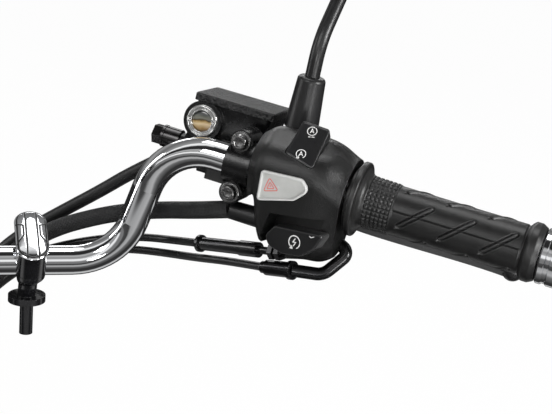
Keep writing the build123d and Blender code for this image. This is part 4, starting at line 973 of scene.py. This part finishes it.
# angle = -2 pi s over s turns; radius and side step pass from one turn to the next in its last third
def coilTurns(centre, turns, tail):
    points = []
    for i in range(coilFacts["points"] * len(turns) + 1):
        s = i / coilFacts["points"]
        here = min(int(s), len(turns) - 1)
        after = min(here + 1, len(turns) - 1)
        step = max(0.0, (s - here - coilFacts["passFrom"]) / coilFacts["passOver"]) if here < after else 0.0
        radius = turns[here][0] * (1 - step) + turns[after][0] * step
        side = turns[here][1] * (1 - step) + turns[after][1] * step
        angle = -2 * math.pi * s
        points.append((centre[0] + radius * math.cos(angle), centre[1] + side, centre[2] + radius * math.sin(angle)))
    last = points[-1]
    return points + [(last[0], last[1], last[2] - tail / 2), (last[0], last[1], last[2] - tail)]


# smooth line through points in millimetres that starts and ends at the outer ones
def makeSpline(name, points):
    curve = bpy.data.curves.new(name, "CURVE")
    curve.dimensions = "3D"
    spline = curve.splines.new("NURBS")
    spline.points.add(len(points) - 1)
    places = np.array(points, float) / 1000
    spline.points.foreach_set("co", np.column_stack([places, np.ones(len(places))]).ravel())
    spline.order_u = 3
    spline.use_endpoint_u = True
    return curve


# tube round the spline's own line: centre + r (cos t a + sin t b), with (a, b) carried along without twist
def makeSleeve(name, facts):
    curve = makeSpline(name + "Line", facts["route"])
    curve.resolution_u = sleeveFacts["smooth"]
    guide = bpy.data.objects.new(name + "Line", curve)
    scene.collection.objects.link(guide)
    line = bpy.data.meshes.new_from_object(guide)
    path = evened(np.array([vertex.co[:] for vertex in line.vertices]), sleeveFacts["stations"], False)
    bpy.data.objects.remove(guide)
    ahead = np.gradient(path, axis=0)
    ahead /= np.linalg.norm(ahead, axis=1)[:, None]
    beside = np.zeros_like(path)
    beside[0] = np.cross(ahead[0], (0, 0, 1))
    for i in range(1, len(path)):
        beside[i] = beside[i - 1] - ahead[i] * (beside[i - 1] @ ahead[i])
    beside /= np.linalg.norm(beside, axis=1)[:, None]
    above = np.cross(ahead, beside)
    count = sleeveFacts["round"]
    angle = np.linspace(0, 2 * math.pi, count, endpoint=False)[None, :, None]
    grid = path[:, None] + facts["diameter"] / 2 * (np.cos(angle) * beside[:, None] + np.sin(angle) * above[:, None])
    piece = addPiece(name, [grid], facts["finish"], covers=facts["solids"], crease=60)
    wrapSleeve(piece.data, path, count)
    return piece, path.tolist()


# u = length run along the path, v = turn / count, and v = 1 on the seam of the faces that close each ring
def wrapSleeve(mesh, path, count):
    run = np.concatenate([[0], np.cumsum(np.linalg.norm(np.diff(path, axis=0), axis=1))])
    corners, sizes = np.zeros(len(mesh.loops), np.int32), np.zeros(len(mesh.polygons), np.int32)
    mesh.loops.foreach_get("vertex_index", corners)
    mesh.polygons.foreach_get("loop_total", sizes)
    turn, owner = corners % count, np.repeat(np.arange(len(sizes)), sizes)
    closes = (np.bincount(owner, turn == 0) > 0) & (np.bincount(owner, turn == count - 1) > 0)
    around = np.where(closes[owner] & (turn == 0), count, turn) / count
    layer = mesh.uv_layers.new(name="along")
    layer.data.foreach_set("uv", np.column_stack([run[corners // count], around]).astype(np.float32).ravel())


# plain tubes are the line's own bevel, with the coil in the same line; the braided sleeve is a grid with its path
def makeCord(name, facts):
    path = None
    if facts["finish"] == "sleeve_black":
        cord, path = makeSleeve(name, facts)
    else:
        curve = makeSpline(name, list(facts["route"]) + (coilTurns(**facts["coil"]) if "coil" in facts else []))
        curve.bevel_depth = facts["diameter"] / 2
        curve.bevel_resolution = tubeFacts["round"]
        curve.resolution_u = tubeFacts["smooth"]
        curve.use_fill_caps = True
        curve.materials.append(materials[facts["finish"]])
        cord = bpy.data.objects.new(name, curve)
        scene.collection.objects.link(cord)
        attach(cord, "bar_assembly")
        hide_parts(*facts["solids"])


for cordName, facts in cordFacts.items():
    makeCord(cordName, facts)
print("stage: cords made")
